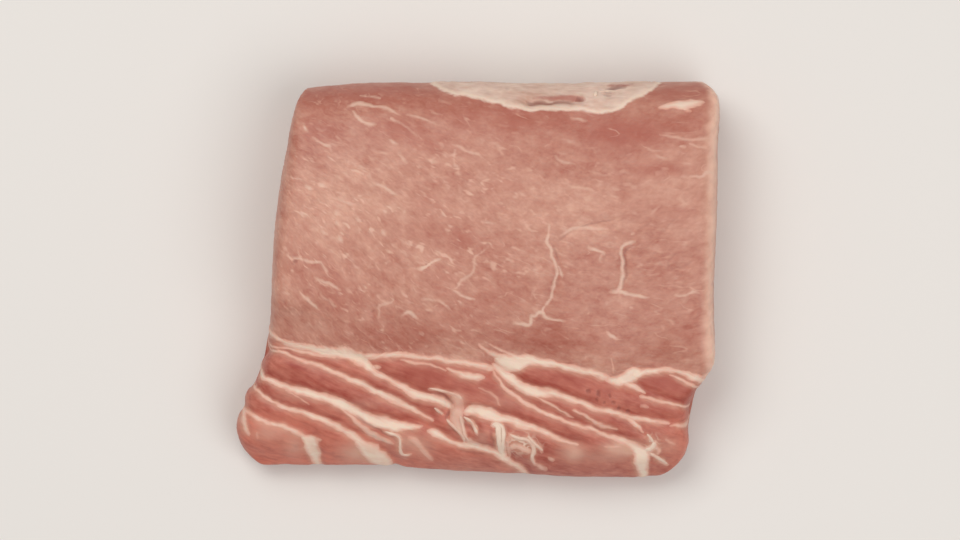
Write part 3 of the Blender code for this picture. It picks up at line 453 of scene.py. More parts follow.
PALE_REGIONS = [
    (-50, 20, 18, 16, 0.55), (-30, 28, 14, 12, 0.35), (12, 26, 12, 10, 0.45), (40, 28, 12, 7, 0.45),
    # The long spot at x 84.5 pales the right end's rim: paler fat there, and a painted highlight where the
    # edge catches the light.
    (14, 36, 8, 4, 0.3), (63, 34, 8, 5, 0.25), (76, 26, 8, 9, 0.35), (84.5, 10, 3.0, 60, 0.5),
    (-8, 53, 3, 3, 0.4), (5, 57.5, 4, 2, 0.3), (19, 4, 5, 6, 0.3), (42, 15, 9, 4, 0.45),
    (-57, -13, 3, 3, 0.35), (-58, 33, 8, 7, 0.2), (-33, 38, 12, 5, 0.45), (48, 7, 7, 6, 0.45),
    (22, 21, 12, 6, 0.2), (5, -24, 10, 3, 0.2), (-20.4, 67.3, 6, 3, 0.4), (40, 31.8, 5, 4, 0.3),
    (61.3, 42.5, 7, 4, 0.3), (63, 24.7, 7, 5, 0.35), (38, 15.8, 5, 5, 0.3), (-20.4, 10.5, 7, 5, 0.3),
    (-45.3, 38.9, 5, 5, 0.25), (-31, -16.1, 6, 4, 0.4), (-60, -18, 8, 3, 0.4),
]
FLAP_RED_REGIONS = [
    (30, -36, 18, 3, 0.5), (60, -37, 8, 2.5, 0.5), (-20, -34, 9, 4, 0.5), (-58, -45, 12, 2.5, 0.5),
    # The spot at x 75, y -45 darkens the flap's right end face: painted shade where that face turns away.
    (-74, -63, 8, 3, 0.3), (-45, -62, 9, 4, 0.4), (25, -40, 12, 2, 0.4), (75, -45, 3, 6, 0.8),
    (2, -40, 7, 2.6, 0.8), (44, -41, 7, 2.6, 0.5), (-17, -36, 5, 4, 0.4),
    (40, -64, 12, 4, 0.5), (-3.5, -52.3, 2.5, 2.5, 0.8), (66, -47.5, 8, 2, 0.4), (-12, -64, 9, 3, 0.3),
    (67, -38, 9, 2.5, 0.6), (-8, -39.5, 5, 1.6, 0.6), (73, -37.5, 8, 4, 0.4),
    (-14, -33.5, 13, 5, 0.45), (11, -44.5, 5, 2.2, 0.7), (36, -43, 9, 1.8, 0.5),
    (40, -50, 7, 1.5, 0.5), (-22, -48.5, 6, 1.5, 0.5), (-60, -34, 10, 2, 0.4), (-31, -46, 6, 1.6, 0.4),
]
FLAP_PALE_REGIONS = [
    (-43.5, -62.5, 6, 4, 0.9), (-65.5, -60, 4, 4, 0.6), (52, -60.5, 6, 3, 0.9),
    (33, -62, 5, 4, 0.5), (45, -63.5, 9, 3, 0.4), (-26, -58, 6, 3, 0.6), (-86, -47, 3, 6, 0.4),
    (-75, -55, 7, 3.5, 0.6), (-7.5, -43.3, 3, 2.4, 0.9), (35, -62, 3.5, 3, 0.5), (2, -56, 2.5, 2, 0.5),
    (-66, -42, 9, 1.5, 0.3), (55.5, -61, 3, 2, 0.7), (50, -60, 8, 1.2, 0.4), (-20, -60, 5, 4, 0.4),
    (68, -60, 6, 4, 0.35), (-40, -44.5, 8, 1.6, 0.3), (10, -44, 8, 3, 0.3),
]

# Where the front and the back begin and are full, in Y, and the ends, in distance to the end.
FRONT_SIDE = (-50.0, -58.0)
BACK_SIDE = (50.0, 60.0)
END_SIDE = (7.0, 2.0)
# Where the sides turn under, and how the lines run on below: heights and shifts a millimetre down.
FRONT_TURN = 13.0
FRONT_SLANT = 0.9
BACK_TURN = 24.0
END_TURN = 6.0
END_SLANT = 0.12
WANDER = 0.20
WANDER_LENGTH = 4.5
RIPPLE_WAVES = 9

# Lines are shared out among groups, within which none runs closer to another than the clearance.
FAT_GROUPS = 5
VEIN_GROUPS = 3
GROUP_CLEARANCE = 2.2
# How far past its edge a line's own field and the meat beside it are worked out; FAR is off any line.
FIELD_REACH = 2.5
BESIDE_REACH = 4.0
FAR = 9.0
# A field fades between these distances from the line's edge, and its tone towards the line's ends.
FIELD_FADE = (0.5, 1.1)
TONE_FADE = (-0.5, 2.5)
END_TONE = 0.4
# How much narrower veins and creases are with each millimetre down a side, and from which depth.
NARROWER_BELOW = 0.2
NARROWER_FROM = 3.0
# The meat above and below a line of fat: how pale it is, how far that reaches, how red it is past it.
ABOVE_FAT = (0.55, 0.6, 0.80)
BELOW_FAT = (0.70, 1.1, 0.15)
RED_DISTANCE = 1.0
RED_SPREAD = 1.1

# ---------------------------------------------------------------- fine relief, in millimetres
FAT_RISE = 0.26
VEIN_RISE = 0.08
PATCH_RISE = 0.35
PATCH_RIM_RISE = 0.25
PATCH_FOLDS = 0.12
STRIP_BULGE = 0.16
STRIP_BULGE_REACH = 2.4
DARK_SINK = 0.60
FLAP_FIBRES = 0.07
EYE_FIBRES = 0.05
LOW_RIPPLE = 0.08

# ---------------------------------------------------------------- colours, linear
EYE_DARK = (0.350, 0.070, 0.042)
EYE_LIGHT = (0.755, 0.444, 0.336)
EYE_RED = (0.430, 0.125, 0.088)
# the right end's rim: paler fat there, and a painted highlight where the edge turns down and catches the
# light
RIM_PALE_HIGHLIGHT = (0.880, 0.570, 0.440)
STRIP_DARK = (0.365, 0.070, 0.048)
STRIP_LIGHT = (0.610, 0.220, 0.155)
STRIP_PALE = (0.660, 0.365, 0.275)
STRIP_WARM = (0.670, 0.195, 0.130)
FAT_ROSY = (0.740, 0.400, 0.305)
FAT_BESIDE = (0.660, 0.365, 0.260)
FAT_CREAM = (0.830, 0.650, 0.525)
MEMBRANE = (0.690, 0.370, 0.280)
PATCH_DARK = (0.555, 0.315, 0.235)
PATCH_LIGHT = (0.825, 0.620, 0.515)
STREAK_RED = (0.420, 0.140, 0.105)
VEIN_ROSY = (0.740, 0.450, 0.345)
# painted shade in the creases, crevices and pits, and the colour of the dark red spots
CREASE_SHADE_AND_DARK_RED = (0.200, 0.040, 0.030)
WET_SPECULAR = 0.35


def hermite(t, start, end, leaving, arriving):
    """Place at t on the smooth curve between two values, from its slopes over the whole span."""
    return ((2 * t**3 - 3 * t**2 + 1) * start + (t**3 - 2 * t**2 + t) * leaving
            + (3 * t**2 - 2 * t**3) * end + (t**3 - t**2) * arriving)


def lookup(table, value):
    """Smooth curve through a table's points, read at value and held flat past its ends."""
    at, to = np.array(table, dtype=float).T
    gaps = np.diff(at)
    slopes = np.diff(to) / gaps
    inner = (slopes[:-1] * gaps[1:] + slopes[1:] * gaps[:-1]) / (gaps[:-1] + gaps[1:])
    tangents = np.concatenate([slopes[:1], inner, slopes[-1:]])
    value = np.clip(value, at[0], at[-1])
    span = np.clip(np.searchsorted(at, value, side="right") - 1, 0, len(gaps) - 1)
    gap = gaps[span]
    return hermite((value - at[span]) / gap, to[span], to[span + 1],
                   gap * tangents[span], gap * tangents[span + 1])


def smoothstep(low, high, value):
    t = np.clip((value - low) / (high - low), 0.0, 1.0)
    return t * t * (3 - 2 * t)


def reach_along(line):
    """Distance along a polyline from its start to each of its points."""
    return np.concatenate([[0.0], np.cumsum(np.hypot(*np.diff(line, axis=0).T))])


def line_through(points, steps):
    """Fine polyline through a few points, and the half width along it: 0 where they give none."""
    points = np.array(points, dtype=float)
    reach = reach_along(points[:, :2])
    at = np.interp(np.arange((len(points) - 1) * steps + 1) / steps, np.arange(len(points)), reach)
    line = np.stack([lookup(np.stack([reach, points[:, k]], axis=1), at) for k in (0, 1)], axis=1)
    return line, np.interp(at, reach, points[:, 2:].sum(axis=1))


# ---------------------------------------------------------------- the body's form
def section_controls(u):
    """Control points (y, z) of the cross sections at the shares u of the length."""
    def across(y):
        left, right = lookup(LEFT_END, y), lookup(RIGHT_END, y)
        return left + u * (right - left)

    back = lookup(BACK_EDGE, across(70.0))
    front = lookup(FRONT_EDGE, across(-67.0))
    seam = np.full(u.shape, -29.0)
    for _ in range(4):
        seam = lookup(SEAM, across(seam))
    crown = lookup(CROWN_HEIGHT, across(30.0))
    seam_z = lookup(SEAM_HEIGHT, across(seam))
    flap_z = lookup(FLAP_HEIGHT, across(-45.0))
    nose = lookup(NOSE_DROP, across(-60.0))
    flat = np.zeros(u.shape)
    controls = [
        (back - 9.0, flat, 2),
        (back - 2.6, flat + 4.5, 2),
        (back, flat + 17.0, 2),
        (back - 2.0, crown - 15.0, 2),
        (back - 6.2, crown - 8.0, 2),
        (back - 13.0, crown - 3.6, 3),
        (back - 24.0, crown - 1.0, 5),
        (back - 39.0, crown, 6),
        (flat + 10.0, crown - 0.8, 5),
        (flat - 8.0, crown - 3.4, 4),
        (seam + 8.5, seam_z + 4.6, 3),
        (seam + 2.6, seam_z + 1.2, 2),
        (seam, seam_z, 2),
        (seam - 3.2, seam_z + 0.1, 4),
        (seam - 11.0, flap_z, 4),
        (front + 18.0, flap_z - 2.4 - nose, 5),
        (front + 9.0, flap_z - 7.2 - nose, 4),
        (front + 3.0, flap_z - 14.2 - nose, 3),
        (front, flat + 11.0, 2),
        (front + 2.2, flat + 3.8, 2),
        (front + 8.0, flat, 2),
        (flat - 25.0, flat, 2),
        (flat + 20.0, flat, 2),
    ]
    points = np.stack([np.stack([y, z], axis=1) for y, z, _ in controls], axis=1)
    return points, [count for _, _, count in controls]


def close_curve(points, counts):
    """Points of a smooth closed curve through each row's controls, counts[i] of them from control i."""
    before, after = np.roll(points, 1, axis=1), np.roll(points, -1, axis=1)
    length = np.linalg.norm(after - points, axis=2, keepdims=True)
    length_before = np.roll(length, 1, axis=1)
    tangent = ((points - before) / length_before * length + (after - points) / length * length_before)
    tangent /= length + length_before
    leaving, arriving = length * tangent, length * np.roll(tangent, -1, axis=1)
    rows = [hermite(step / count, points[:, i], after[:, i], leaving[:, i], arriving[:, i])
            for i, count in enumerate(counts) for step in range(count)]
    ring = np.stack(rows, axis=1)
    ring[..., 1] = np.maximum(ring[..., 1], 0.0)
    ring[:, sum(counts[:-RESTING_CONTROLS]):, 1] = 0.0
    return ring


def inset_ring(ring, inset):
    """A section drawn in by inset at each of its points, and by less of it close to the foot."""
    along = np.roll(ring, -1, axis=0) - np.roll(ring, 1, axis=0)
    normal = np.stack([-along[:, 1], along[:, 0]], axis=1)
    normal /= np.linalg.norm(normal, axis=1, keepdims=True)
    normal *= -1.0 if normal[len(ring) // 3, 1] < 0 else 1.0
    low = 1 - smoothstep(0.0, FOOT_HEIGHT, ring[:, 1])
    inset = inset * (RIM_INSET_SHARE + (FOOT_INSET_SHARE - RIM_INSET_SHARE) * low)
    return ring - normal * inset[:, None]


def end_rings(ring, end, rim, side):
    """Rings round a cut end's rim, from the body out to the end face."""
    y = ring[:, 0]
    x_end, reach = lookup(end, y), lookup(rim, y)
    rings = []
    for step in range(1, RIM_RINGS + 1):
        turn = math.pi / 2 * step / RIM_RINGS
        drawn = inset_ring(ring, reach * (1 - math.cos(turn)))
        x = x_end - side * reach * (1 - math.sin(turn))
        rings.append(np.column_stack([x, drawn]))
    return rings


def loft():
    """All rings from the left end face to the right one, as an array of (ring, point, xyz)."""
    u = (1 - np.cos(np.linspace(0.0, 1.0, COLUMNS) * math.pi)) / 2
    u = 0.35 * u + 0.65 * np.linspace(0.0, 1.0, COLUMNS)
    controls, counts = section_controls(u)
    sections = close_curve(controls, counts)
    y = sections[..., 0]
    left = lookup(LEFT_END, y) + lookup(LEFT_RIM, y)
    right = lookup(RIGHT_END, y) - lookup(RIGHT_RIM, y)
    x = left + u[:, None] * (right - left)
    body = [np.column_stack([x[i], sections[i]]) for i in range(COLUMNS)]
    left_rim = end_rings(sections[0], LEFT_END, LEFT_RIM, -1)
    right_rim = end_rings(sections[-1], RIGHT_END, RIGHT_RIM, 1)
    return np.array(left_rim[::-1] + body + right_rim), counts


def end_cap(points, loop, belly, tip, outward, vertices):
    """Faces that close a cut end, with a few rows between its upper and lower edge."""
    upper = loop[belly:tip + 1]
    lower = loop[belly::-1] + loop[:tip - 1:-1]
    low_line = points[lower]
    order = np.argsort(low_line[:, 1])
    faces = []
    row = list(upper)
    inner = upper[1:-1]
    top = points[inner]
    foot = np.column_stack([np.interp(top[:, 1], low_line[order, 1], low_line[order, k]) for k in range(3)])
    across = np.arange(1, len(inner) + 1) / (len(inner) + 1)
    for step in range(1, CAP_ROWS + 1):
        t = step / (CAP_ROWS + 1)
        level = top + (foot - top) * t
        level[:, 0] += outward * END_DOME * np.sin(math.pi * across) ** 0.5 * math.sin(math.pi * t)
        first = len(vertices)
        vertices.extend(level)
        new_row = [upper[0]] + list(range(first, first + len(inner))) + [upper[-1]]
        for i in range(len(upper) - 1):
            corners = [row[i], row[i + 1], new_row[i + 1], new_row[i]]
            faces.append(list(dict.fromkeys(corners)))
        row = new_row
    everything = np.array(vertices)
    i = j = 0
    while i < len(row) - 1 or j < len(lower) - 1:
        row_next = everything[row[i + 1], 1] if i < len(row) - 1 else -np.inf
        low_next = everything[lower[j + 1], 1] if j < len(lower) - 1 else -np.inf
        if row_next >= low_next:
            corners = [row[i], row[i + 1], lower[j]]
            i += 1
        else:
            corners = [row[i], lower[j + 1], lower[j]]
            j += 1
        if len(set(corners)) == 3:
            faces.append(corners)
    return faces


def soften(points, faces):
    """Points drawn towards their neighbours, which rounds the cut edges; resting points stay."""
    links = {tuple(sorted(pair)) for face in faces for pair in zip(face, face[1:] + face[:1])}
    first, second = np.array(sorted(links)).T
    ends = np.concatenate([first, second])
    others = np.concatenate([second, first])
    links_each = np.bincount(ends, minlength=len(points))
    resting = points[:, 2] < 1e-6
    for _ in range(SOFTEN_ROUNDS):
        mean = np.stack([np.bincount(ends, points[others, k], len(points)) for k in range(3)], axis=1)
        drawn = points + SOFTEN_SHARE * (mean / links_each[:, None] - points)
        points = np.where(resting[:, None], points, drawn)
    return points


def coarse_body():
    """Points and faces of the plain body, before its relief."""
    rings, counts = loft()
    ring_count, per_ring = rings.shape[:2]
    vertices = list(rings.reshape(-1, 3))
    faces = []
    for i in range(ring_count - 1):
        for j in range(per_ring):
            k = (j + 1) % per_ring
            faces.append([i * per_ring + j, i * per_ring + k,
                          (i + 1) * per_ring + k, (i + 1) * per_ring + j])
    belly, tip = sum(counts[:BELLY_CONTROL]), sum(counts[:TIP_CONTROL])
    points = np.array(vertices)
    left_loop = list(range(per_ring))
    right_loop = list(range((ring_count - 1) * per_ring, ring_count * per_ring))
    faces += [face[::-1] for face in end_cap(points, left_loop, belly, tip, -1, vertices)]
    faces += end_cap(points, right_loop, belly, tip, 1, vertices)
    return soften(np.array(vertices), faces), faces


def put_in_scene(name, data):
    """A new object of the scene."""
    thing = bpy.data.objects.new(name, data)
    bpy.context.scene.collection.objects.link(thing)
    return thing


def subdivided(points, faces):
    """The body's mesh after its smooth subdivision, in millimetres."""
    mesh = bpy.data.meshes.new("loin_meat")
    mesh.from_pydata([tuple(point) for point in points], [], faces)
    holder = put_in_scene("loin_meat", mesh)
    smooth = holder.modifiers.new("Subdivision", "SUBSURF")
    smooth.levels = smooth.render_levels = SUBDIVISIONS
    graph = bpy.context.evaluated_depsgraph_get()
    fine = bpy.data.meshes.new_from_object(holder.evaluated_get(graph))
    bpy.data.objects.remove(holder, do_unlink=True)
    return fine


def read_vectors(items, name):
    """One vector of each of a mesh's items, as rows."""
    flat = np.empty(len(items) * 3, dtype=np.float32)
    items.foreach_get(name, flat)
    return flat.reshape(-1, 3).astype(float)


def moved_out(mesh, points, heights):
    """Points moved along the mesh's normals."""
    return points + read_vectors(mesh.vertex_normals, "vector") * heights[:, None]


def set_points(mesh, points):
    mesh.vertices.foreach_set("co", points.astype(np.float32).ravel())
    mesh.update()


def broad_relief(points):
    """The relief that the solid has too, along the surface's normal."""
    x, y, z = points.T
    height = spots(x, y, SWELLINGS)
    grooves = [(sheet, SHEET_VALLEY, SHEET_HALF_WIDTH) for sheet in FLAP_SHEETS + [SEAM_LEDGE]]
    grooves += [(crease, depth, CREASE_HALF_WIDTH) for crease, depth in CREASES]
    for line, depth, half in grooves:
        close, away, *_ = beside_line(x, y, line, GROOVE_REACH * half)
        height[close] -= depth * np.exp(-(away / half) ** 2)
    for rise, along, over, start in WAVES:
        height += rise * np.sin(along * x + over * y + start)
    return height * smoothstep(RELIEF_STARTS_AT, RELIEF_FULL_AT, z)


def fit_to_box(points):
    """Points moved and stretched by a hair to the solid's own box."""
    low, high = points.min(axis=0), points.max(axis=0)
    return LOW_CORNER + (points - low) / (high - low) * (HIGH_CORNER - LOW_CORNER)


# ---------------------------------------------------------------- line fields on the surface
def drawn_plan(points):
    """Plan place of each point, unrolled where the sides and the cut ends turn under."""
    x, y, z = points.T
    to_end = np.minimum(x - lookup(LEFT_END, y), lookup(RIGHT_END, y) - x)
    end = smoothstep(*END_SIDE, to_end)
    front = smoothstep(*FRONT_SIDE, y) * (1 - end)
    back = smoothstep(*BACK_SIDE, y) * (1 - end)
    depth = np.maximum(lookup(UPPER_PROFILE, y) - z, 0.0)
    unrolled = (y - front * FRONT_SLANT * np.maximum(FRONT_TURN - z, 0.0)
                + back * np.maximum(BACK_TURN - z, 0.0)
                - end * END_SLANT * np.maximum(depth - END_TURN, 0.0))
    wander_x, wander_y = (WANDER * ripple(x, unrolled, WANDER_LENGTH, seed) for seed in (11, 13))
    return x + wander_x, unrolled + wander_y, depth


def ripple(x, y, reach, seed):
    """Uneven waviness of about unit size, from sines in random directions."""
    random = np.random.default_rng(seed)
    total = np.zeros(x.shape)
    for _ in range(RIPPLE_WAVES):
        turn, start = random.uniform(0, 2 * math.pi, 2)
        wave = 2 * math.pi / (reach * random.uniform(0.6, 1.7))
        total += np.sin(wave * (x * math.cos(turn) + y * math.sin(turn)) + start)
    return total / math.sqrt(RIPPLE_WAVES)


def beside_line(x, y, points, margin):
    """How the places near a line lie beside it: those in its box, widened by its width and margin.

    Gives their numbers, their distance, their side (1 to the right of the line's direction), the
    half width where the line is nearest, and how far that is from the line's nearer end, negative
    past it.
    """
    line, half = line_through(points, LINE_STEPS)
    margin = margin + half.max()
    low, high = line.min(axis=0) - margin, line.max(axis=0) + margin
    close = np.nonzero((x > low[0]) & (x < high[0]) & (y > low[1]) & (y < high[1]))[0]
    x, y = x[close], y[close]
    reach = reach_along(line)
    best = np.full(x.shape, np.inf)
    side, width, from_end = np.ones(x.shape), np.zeros(x.shape), np.zeros(x.shape)
    for k, ((ax, ay), (bx, by)) in enumerate(zip(line[:-1], line[1:])):
        dx, dy = bx - ax, by - ay
        length = math.hypot(dx, dy)
        free = ((x - ax) * dx + (y - ay) * dy) / length**2
        t = np.clip(free, 0.0, 1.0)
        away = np.hypot(x - ax - t * dx, y - ay - t * dy)
        better = away < best
        best = np.where(better, away, best)
        side = np.where(better, np.where((x - ax) * dy - (y - ay) * dx < 0, -1.0, 1.0), side)
        width = np.where(better, half[k] + t * (half[k + 1] - half[k]), width)
        at = reach[k] + (free if k in (0, len(line) - 2) else t) * length
        from_end = np.where(better, np.minimum(at, reach[-1] - at), from_end)
    return close, best, side, width, from_end


def line_field(x, y, lines):
    """For each point the signed distance to the nearest line, its half width there and its tone.

    The half width falls away beside and past a line, so that a change of sign between two lines
    draws nothing.
    """
    across = np.full(x.shape, FAR)
    width = np.full(x.shape, -1.0)
    tone = np.zeros(x.shape)
    nearest = np.full(x.shape, np.inf)
    for points, line_tone in lines:
        close, away, side, half, from_end = beside_line(x, y, points, FIELD_REACH)
        half += np.minimum(from_end, 0.0)
        better = away - half < nearest[close]
        chosen = close[better]
        nearest[chosen] = (away - half)[better]
        across[chosen] = (side * away)[better]
        width[chosen] = half[better]
        tone[chosen] = line_tone * (END_TONE + (1 - END_TONE) * smoothstep(*TONE_FADE, from_end[better]))
    fade = smoothstep(*FIELD_FADE, nearest)
    return across, width * (1 - fade) - fade, tone


def apart(lines, clearance, count):
    """Lines shared out among groups, so that within a group no two run close together."""
    drawn = [line_through(points, LINE_STEPS) for points, _ in lines]
    groups = [[] for _ in range(count)]
    for index, (line, half) in enumerate(drawn):
        room = []
        for group in groups:
            gaps = [np.hypot(*(line[:, None] - drawn[k][0][None]).T).min() - drawn[k][1].max()
                    for k in group]
            room.append(min(gaps, default=np.inf) - half.max())
        clear = [k for k, gap in enumerate(room) if gap > clearance]
        groups[clear[0] if clear else room.index(max(room))].append(index)
    return [[lines[k] for k in group] for group in groups]


def beside_fat(x, y, lines):
    """Beside the fat lines: how pale the meat is, how deep its red, and the distance to fat."""
    pale, deep = np.zeros(x.shape), np.zeros(x.shape)
    clear = np.full(x.shape, STRIP_BULGE_REACH)
    for points, tone in lines:
        close, away, side, half, from_end = beside_line(x, y, points, BESIDE_REACH)
        beyond = np.maximum(away - half, 0.0)
        strength = tone * smoothstep(-1.0, 3.0, from_end)
        paleness, spread, redness = (np.where(side > 0, below, above)
                                     for above, below in zip(ABOVE_FAT, BELOW_FAT))
        fade = paleness * np.exp(-(beyond / spread) ** 2)
        rise = redness * np.exp(-((beyond - RED_DISTANCE) / RED_SPREAD) ** 2)
        pale[close] = np.maximum(pale[close], strength * fade)
        deep[close] = np.maximum(deep[close], strength * rise)
        clear[close] = np.minimum(clear[close], beyond)
    return pale, deep, clear


def eye_flow(x, y):
    """Place along and across the eye's fibres."""
    bend = 1 - 0.3 * smoothstep(20, 62, y)
    return x - FLOW_SLOPE * y, y + x * (FLOW_SLOPE - FLOW_BEND * x) * bend


def back_fat_inside(x, y):
    """How far inside the fat at the back edge each point is, in millimetres."""
    above = y - lookup(BACK_FAT_EDGE, x)
    below = lookup(BACK_FAT_FOOT, x) + 2.6 * ripple(x, y, 11.0, 21) + 1.0 * ripple(x, y, 4.0, 22) - y
    ends = np.minimum(x - BACK_FAT_ENDS[0], BACK_FAT_ENDS[1] - x)
    return np.minimum(np.minimum(above, below), ends)


def spots(x, y, places):
    """Sum of soft spots (x, y, reach along X, reach along Y, strength)."""
    total = np.zeros(x.shape)
    for cx, cy, reach_x, reach_y, strength in places:
        total += strength * np.exp(-((x - cx) / reach_x) ** 2 - ((y - cy) / reach_y) ** 2)
    return total


def store(mesh, name, *columns):
    """Three values a vertex, kept on the mesh for its material."""
    attribute = mesh.attributes.new(name, "FLOAT_VECTOR", "POINT")
    values = np.stack(columns, axis=1).astype(np.float32)
    attribute.data.foreach_set("vector", values.ravel())


def proud(field, low, high):
    """How far a line stands out: 0 off it and 1 well inside, with rounded sides."""
    across, width, _ = field
    return smoothstep(low, high, width - np.abs(across))


def make_body():
    """The whole piece as one closed mesh with its relief and the fields its material reads."""
    mesh = subdivided(*coarse_body())
    points = read_vectors(mesh.vertices, "co")
    points = fit_to_box(moved_out(mesh, points, broad_relief(points)))
    set_points(mesh, points)

    x, y, depth = drawn_plan(points)
    flap = smoothstep(1.2, -1.2, y - lookup(SEAM, x))
    fats, veins = ([line_field(x, y, group) for group in apart(lines, GROUP_CLEARANCE, count)]
                   for lines, count in ((FLAP_FAT + EYE_FAT, FAT_GROUPS), (EYE_VEINS, VEIN_GROUPS)))
    dark = line_field(x, y, DARK_LINES)
    streak = line_field(x, y, LEAN_IN_BACK_FAT)
    for _, width, _ in veins + [dark]:
        width -= NARROWER_BELOW * np.maximum(depth - NARROWER_FROM, 0.0)
    pale_beside, deep_beside, clear = beside_fat(x, y, FLAP_FAT)
    back_fat = back_fat_inside(x, y)
    along_eye, across_eye = eye_flow(x, y)
    along_flap, across_flap = x - FLAP_SLOPE * y, y + FLAP_SLOPE * x

    # Fat stands a little proud with rounded sides, strips bulge, creases sink.
    raised = np.max([FAT_RISE * proud(field, -0.7, 1.0) for field in fats]
                    + [VEIN_RISE * proud(field, -0.4, 0.5) for field in veins], axis=0)
    raised += PATCH_RISE * smoothstep(-0.6, 1.0, back_fat)
    raised += PATCH_RIM_RISE * np.exp(-((back_fat - 1.2) / 0.9) ** 2)
    raised += PATCH_FOLDS * smoothstep(0.0, 2.0, back_fat) * ripple(0.3 * x, y, 2.6, 23)
    raised += STRIP_BULGE * flap * smoothstep(0.0, STRIP_BULGE_REACH, clear)
    raised -= DARK_SINK * dark[2] * proud(dark, -0.6, 0.6)
    raised += FLAP_FIBRES * flap * ripple(0.16 * x, across_flap, 2.6, 3)
    raised += EYE_FIBRES * (1 - flap) * ripple(0.15 * along_eye, across_eye, 3.0, 5)
    raised += LOW_RIPPLE * ripple(x, y, 9.0, 6)
    points = moved_out(mesh, points, raised * smoothstep(0.2, 4.0, points[:, 2]))
    points[:, 2] = np.maximum(points[:, 2], 0.0)
    points = fit_to_box(points)

    # The eye's flecks thin out to the right, to the seam, to the back and down the sides.
    scattered = 1.0 - 0.6 * smoothstep(-10, 50, x) - 0.25 * smoothstep(5, -20, y)
    scattered = scattered * (1.0 - 0.7 * smoothstep(38, 52, y)) + spots(x, y, FLECKED)
    scattered *= 1.0 - 0.8 * smoothstep(2.0, 9.0, depth)
    # Along the right end's rim the eye turns paler: paler fat there, and a painted highlight where the edge
    # catches the light.
    rim = smoothstep(6.0, 1.5, lookup(RIGHT_END, y) - x) * smoothstep(14.0, 5.0, depth)
    red = (1 - flap) * spots(x, y, RED_REGIONS) + flap * spots(x, y, FLAP_RED_REGIONS)
    pale = (1 - flap) * spots(x, y, PALE_REGIONS) + flap * spots(x, y, FLAP_PALE_REGIONS)
    store(mesh, "grain", flap * along_flap + (1 - flap) * along_eye,
          flap * across_flap + (1 - flap) * across_eye, points[:, 2])
    store(mesh, "zone", flap, red, pale)
    store(mesh, "beside", pale_beside, deep_beside, rim * (1 - flap))
    for kind, fields in (("fat", fats), ("vein", veins)):
        for k, field in enumerate(fields):
            store(mesh, f"{kind}_{k}", *field)
    # Where the flap turns down its strips are warmer, most of all just past the turn.
    turning = flap * smoothstep(-42.0, -54.0, y) * smoothstep(0.5, 6.0, depth)
    turning *= 1.0 - 0.8 * smoothstep(7.0, 15.0, depth)
    store(mesh, "scatter", scattered, spots(x, y, FROTH), turning)
    store(mesh, "dark", *dark)
    store(mesh, "patch", back_fat, streak[1] - np.abs(streak[0]), streak[2])
    set_points(mesh, points * MM)
    mesh.shade_smooth()
    return put_in_scene("loin_meat", mesh)


# ---------------------------------------------------------------- torn strands of fat
CORD_HALF_WIDTH = 0.55
CORD_SIDES = 10
CORD_FLATNESS = 0.45
CORD_OVERLAP = 1.35
STRAND_STEPS = 6
STRAND_SEED = 4


def lay_on(tree, x, y):
    """Place on the meat at a plan point, and the outward normal there."""
    place, normal, _, _ = tree.ray_cast(Vector((x * MM, y * MM, 0.1)), Vector((0, 0, -1)))
    if place is None:
        place, normal, _, _ = tree.find_nearest(Vector((x * MM, y * MM, 0.03)))
    return place, normal


def add_cord(shape, tree, line, half, lift, tone, random):
    """One closed cord laid along a plan line on the meat, uneven, with ends that sink in."""
    share = np.linspace(0, 1, len(line))
    blunt = np.clip(6 * np.minimum(share + 0.02, 1.02 - share), 0, 1) ** 0.5
    starts = random.uniform(0, 2 * math.pi, 4)
    places = [lay_on(tree, x, y) for x, y in line]
    thick = CORD_FLATNESS * half
    rise = lift * np.sin(math.pi * share) - thick * (0.1 + 1.1 * (1 - blunt))
    centres = [place + normal * (up * MM) for (place, normal), up in zip(places, rise)]
    travelled = random.uniform(0, 100)
    grain = shape.verts.layers.float_vector["strand"]
    rings = []
    for i, centre in enumerate(centres):
        ahead = centres[min(i + 1, len(centres) - 1)] - centres[max(i - 1, 0)]
        travelled += ahead.length / MM / 2
        sideways = places[i][1].cross(ahead).normalized()
        upwards = ahead.cross(sideways).normalized()
        ring = []
        for k in range(CORD_SIDES):
            turn = 2 * math.pi * k / CORD_SIDES
            uneven = (1 + 0.10 * math.sin(2 * turn + starts[0] + 4 * share[i])
                      + 0.12 * math.sin(11 * share[i] + starts[1])
                      + 0.08 * math.sin(23 * share[i] + starts[2]))
            size = blunt[i] * uneven * MM
            out = sideways * (math.cos(turn) * half[i]) + upwards * (math.sin(turn) * thick[i])
            vertex = shape.verts.new(centre + out * size)
            vertex[grain] = (travelled, starts[3] * 9 + math.cos(turn) * half[i], tone)
            ring.append(vertex)
        rings.append(ring)
    for ring, following in zip(rings[:-1], rings[1:]):
        for k in range(CORD_SIDES):
            m = (k + 1) % CORD_SIDES
            shape.faces.new((ring[k], ring[m], following[m], following[k]))
    shape.faces.new(rings[0][::-1])
    shape.faces.new(rings[-1])


def add_strand(shape, tree, points, lift, tone, random):
    """A strand as one cord, or as a band of cords side by side that draw together where it narrows."""
    line, half = line_through(points, STRAND_STEPS)
    share = np.linspace(0, 1, len(line))
    ahead = np.gradient(line, axis=0)
    sideways = np.stack([-ahead[:, 1], ahead[:, 0]], axis=1) / np.hypot(*ahead.T)[:, None]
    count = max(1, round(half.max() / CORD_HALF_WIDTH))
    for k in range(count):
        place = (2 * k + 1) / count - 1
        sway = 0.25 * half * np.sin(5 * share + random.uniform(0, 6)) if count > 1 else 0 * half
        shift = (place * half * (1 - 1 / count) + sway) if count > 1 else sway
        cord_half = half / count * (CORD_OVERLAP if count > 1 else 1.0)
        first = random.integers(0, 3) if count > 1 else 0
        last = len(line) - (random.integers(0, 4) if count > 1 else 0)
        part = slice(first, last)
        raised = lift + random.uniform(-0.08, 0.14) * (count > 1)
        add_cord(shape, tree, (line + sideways * shift[:, None])[part], cord_half[part], raised, tone, random)


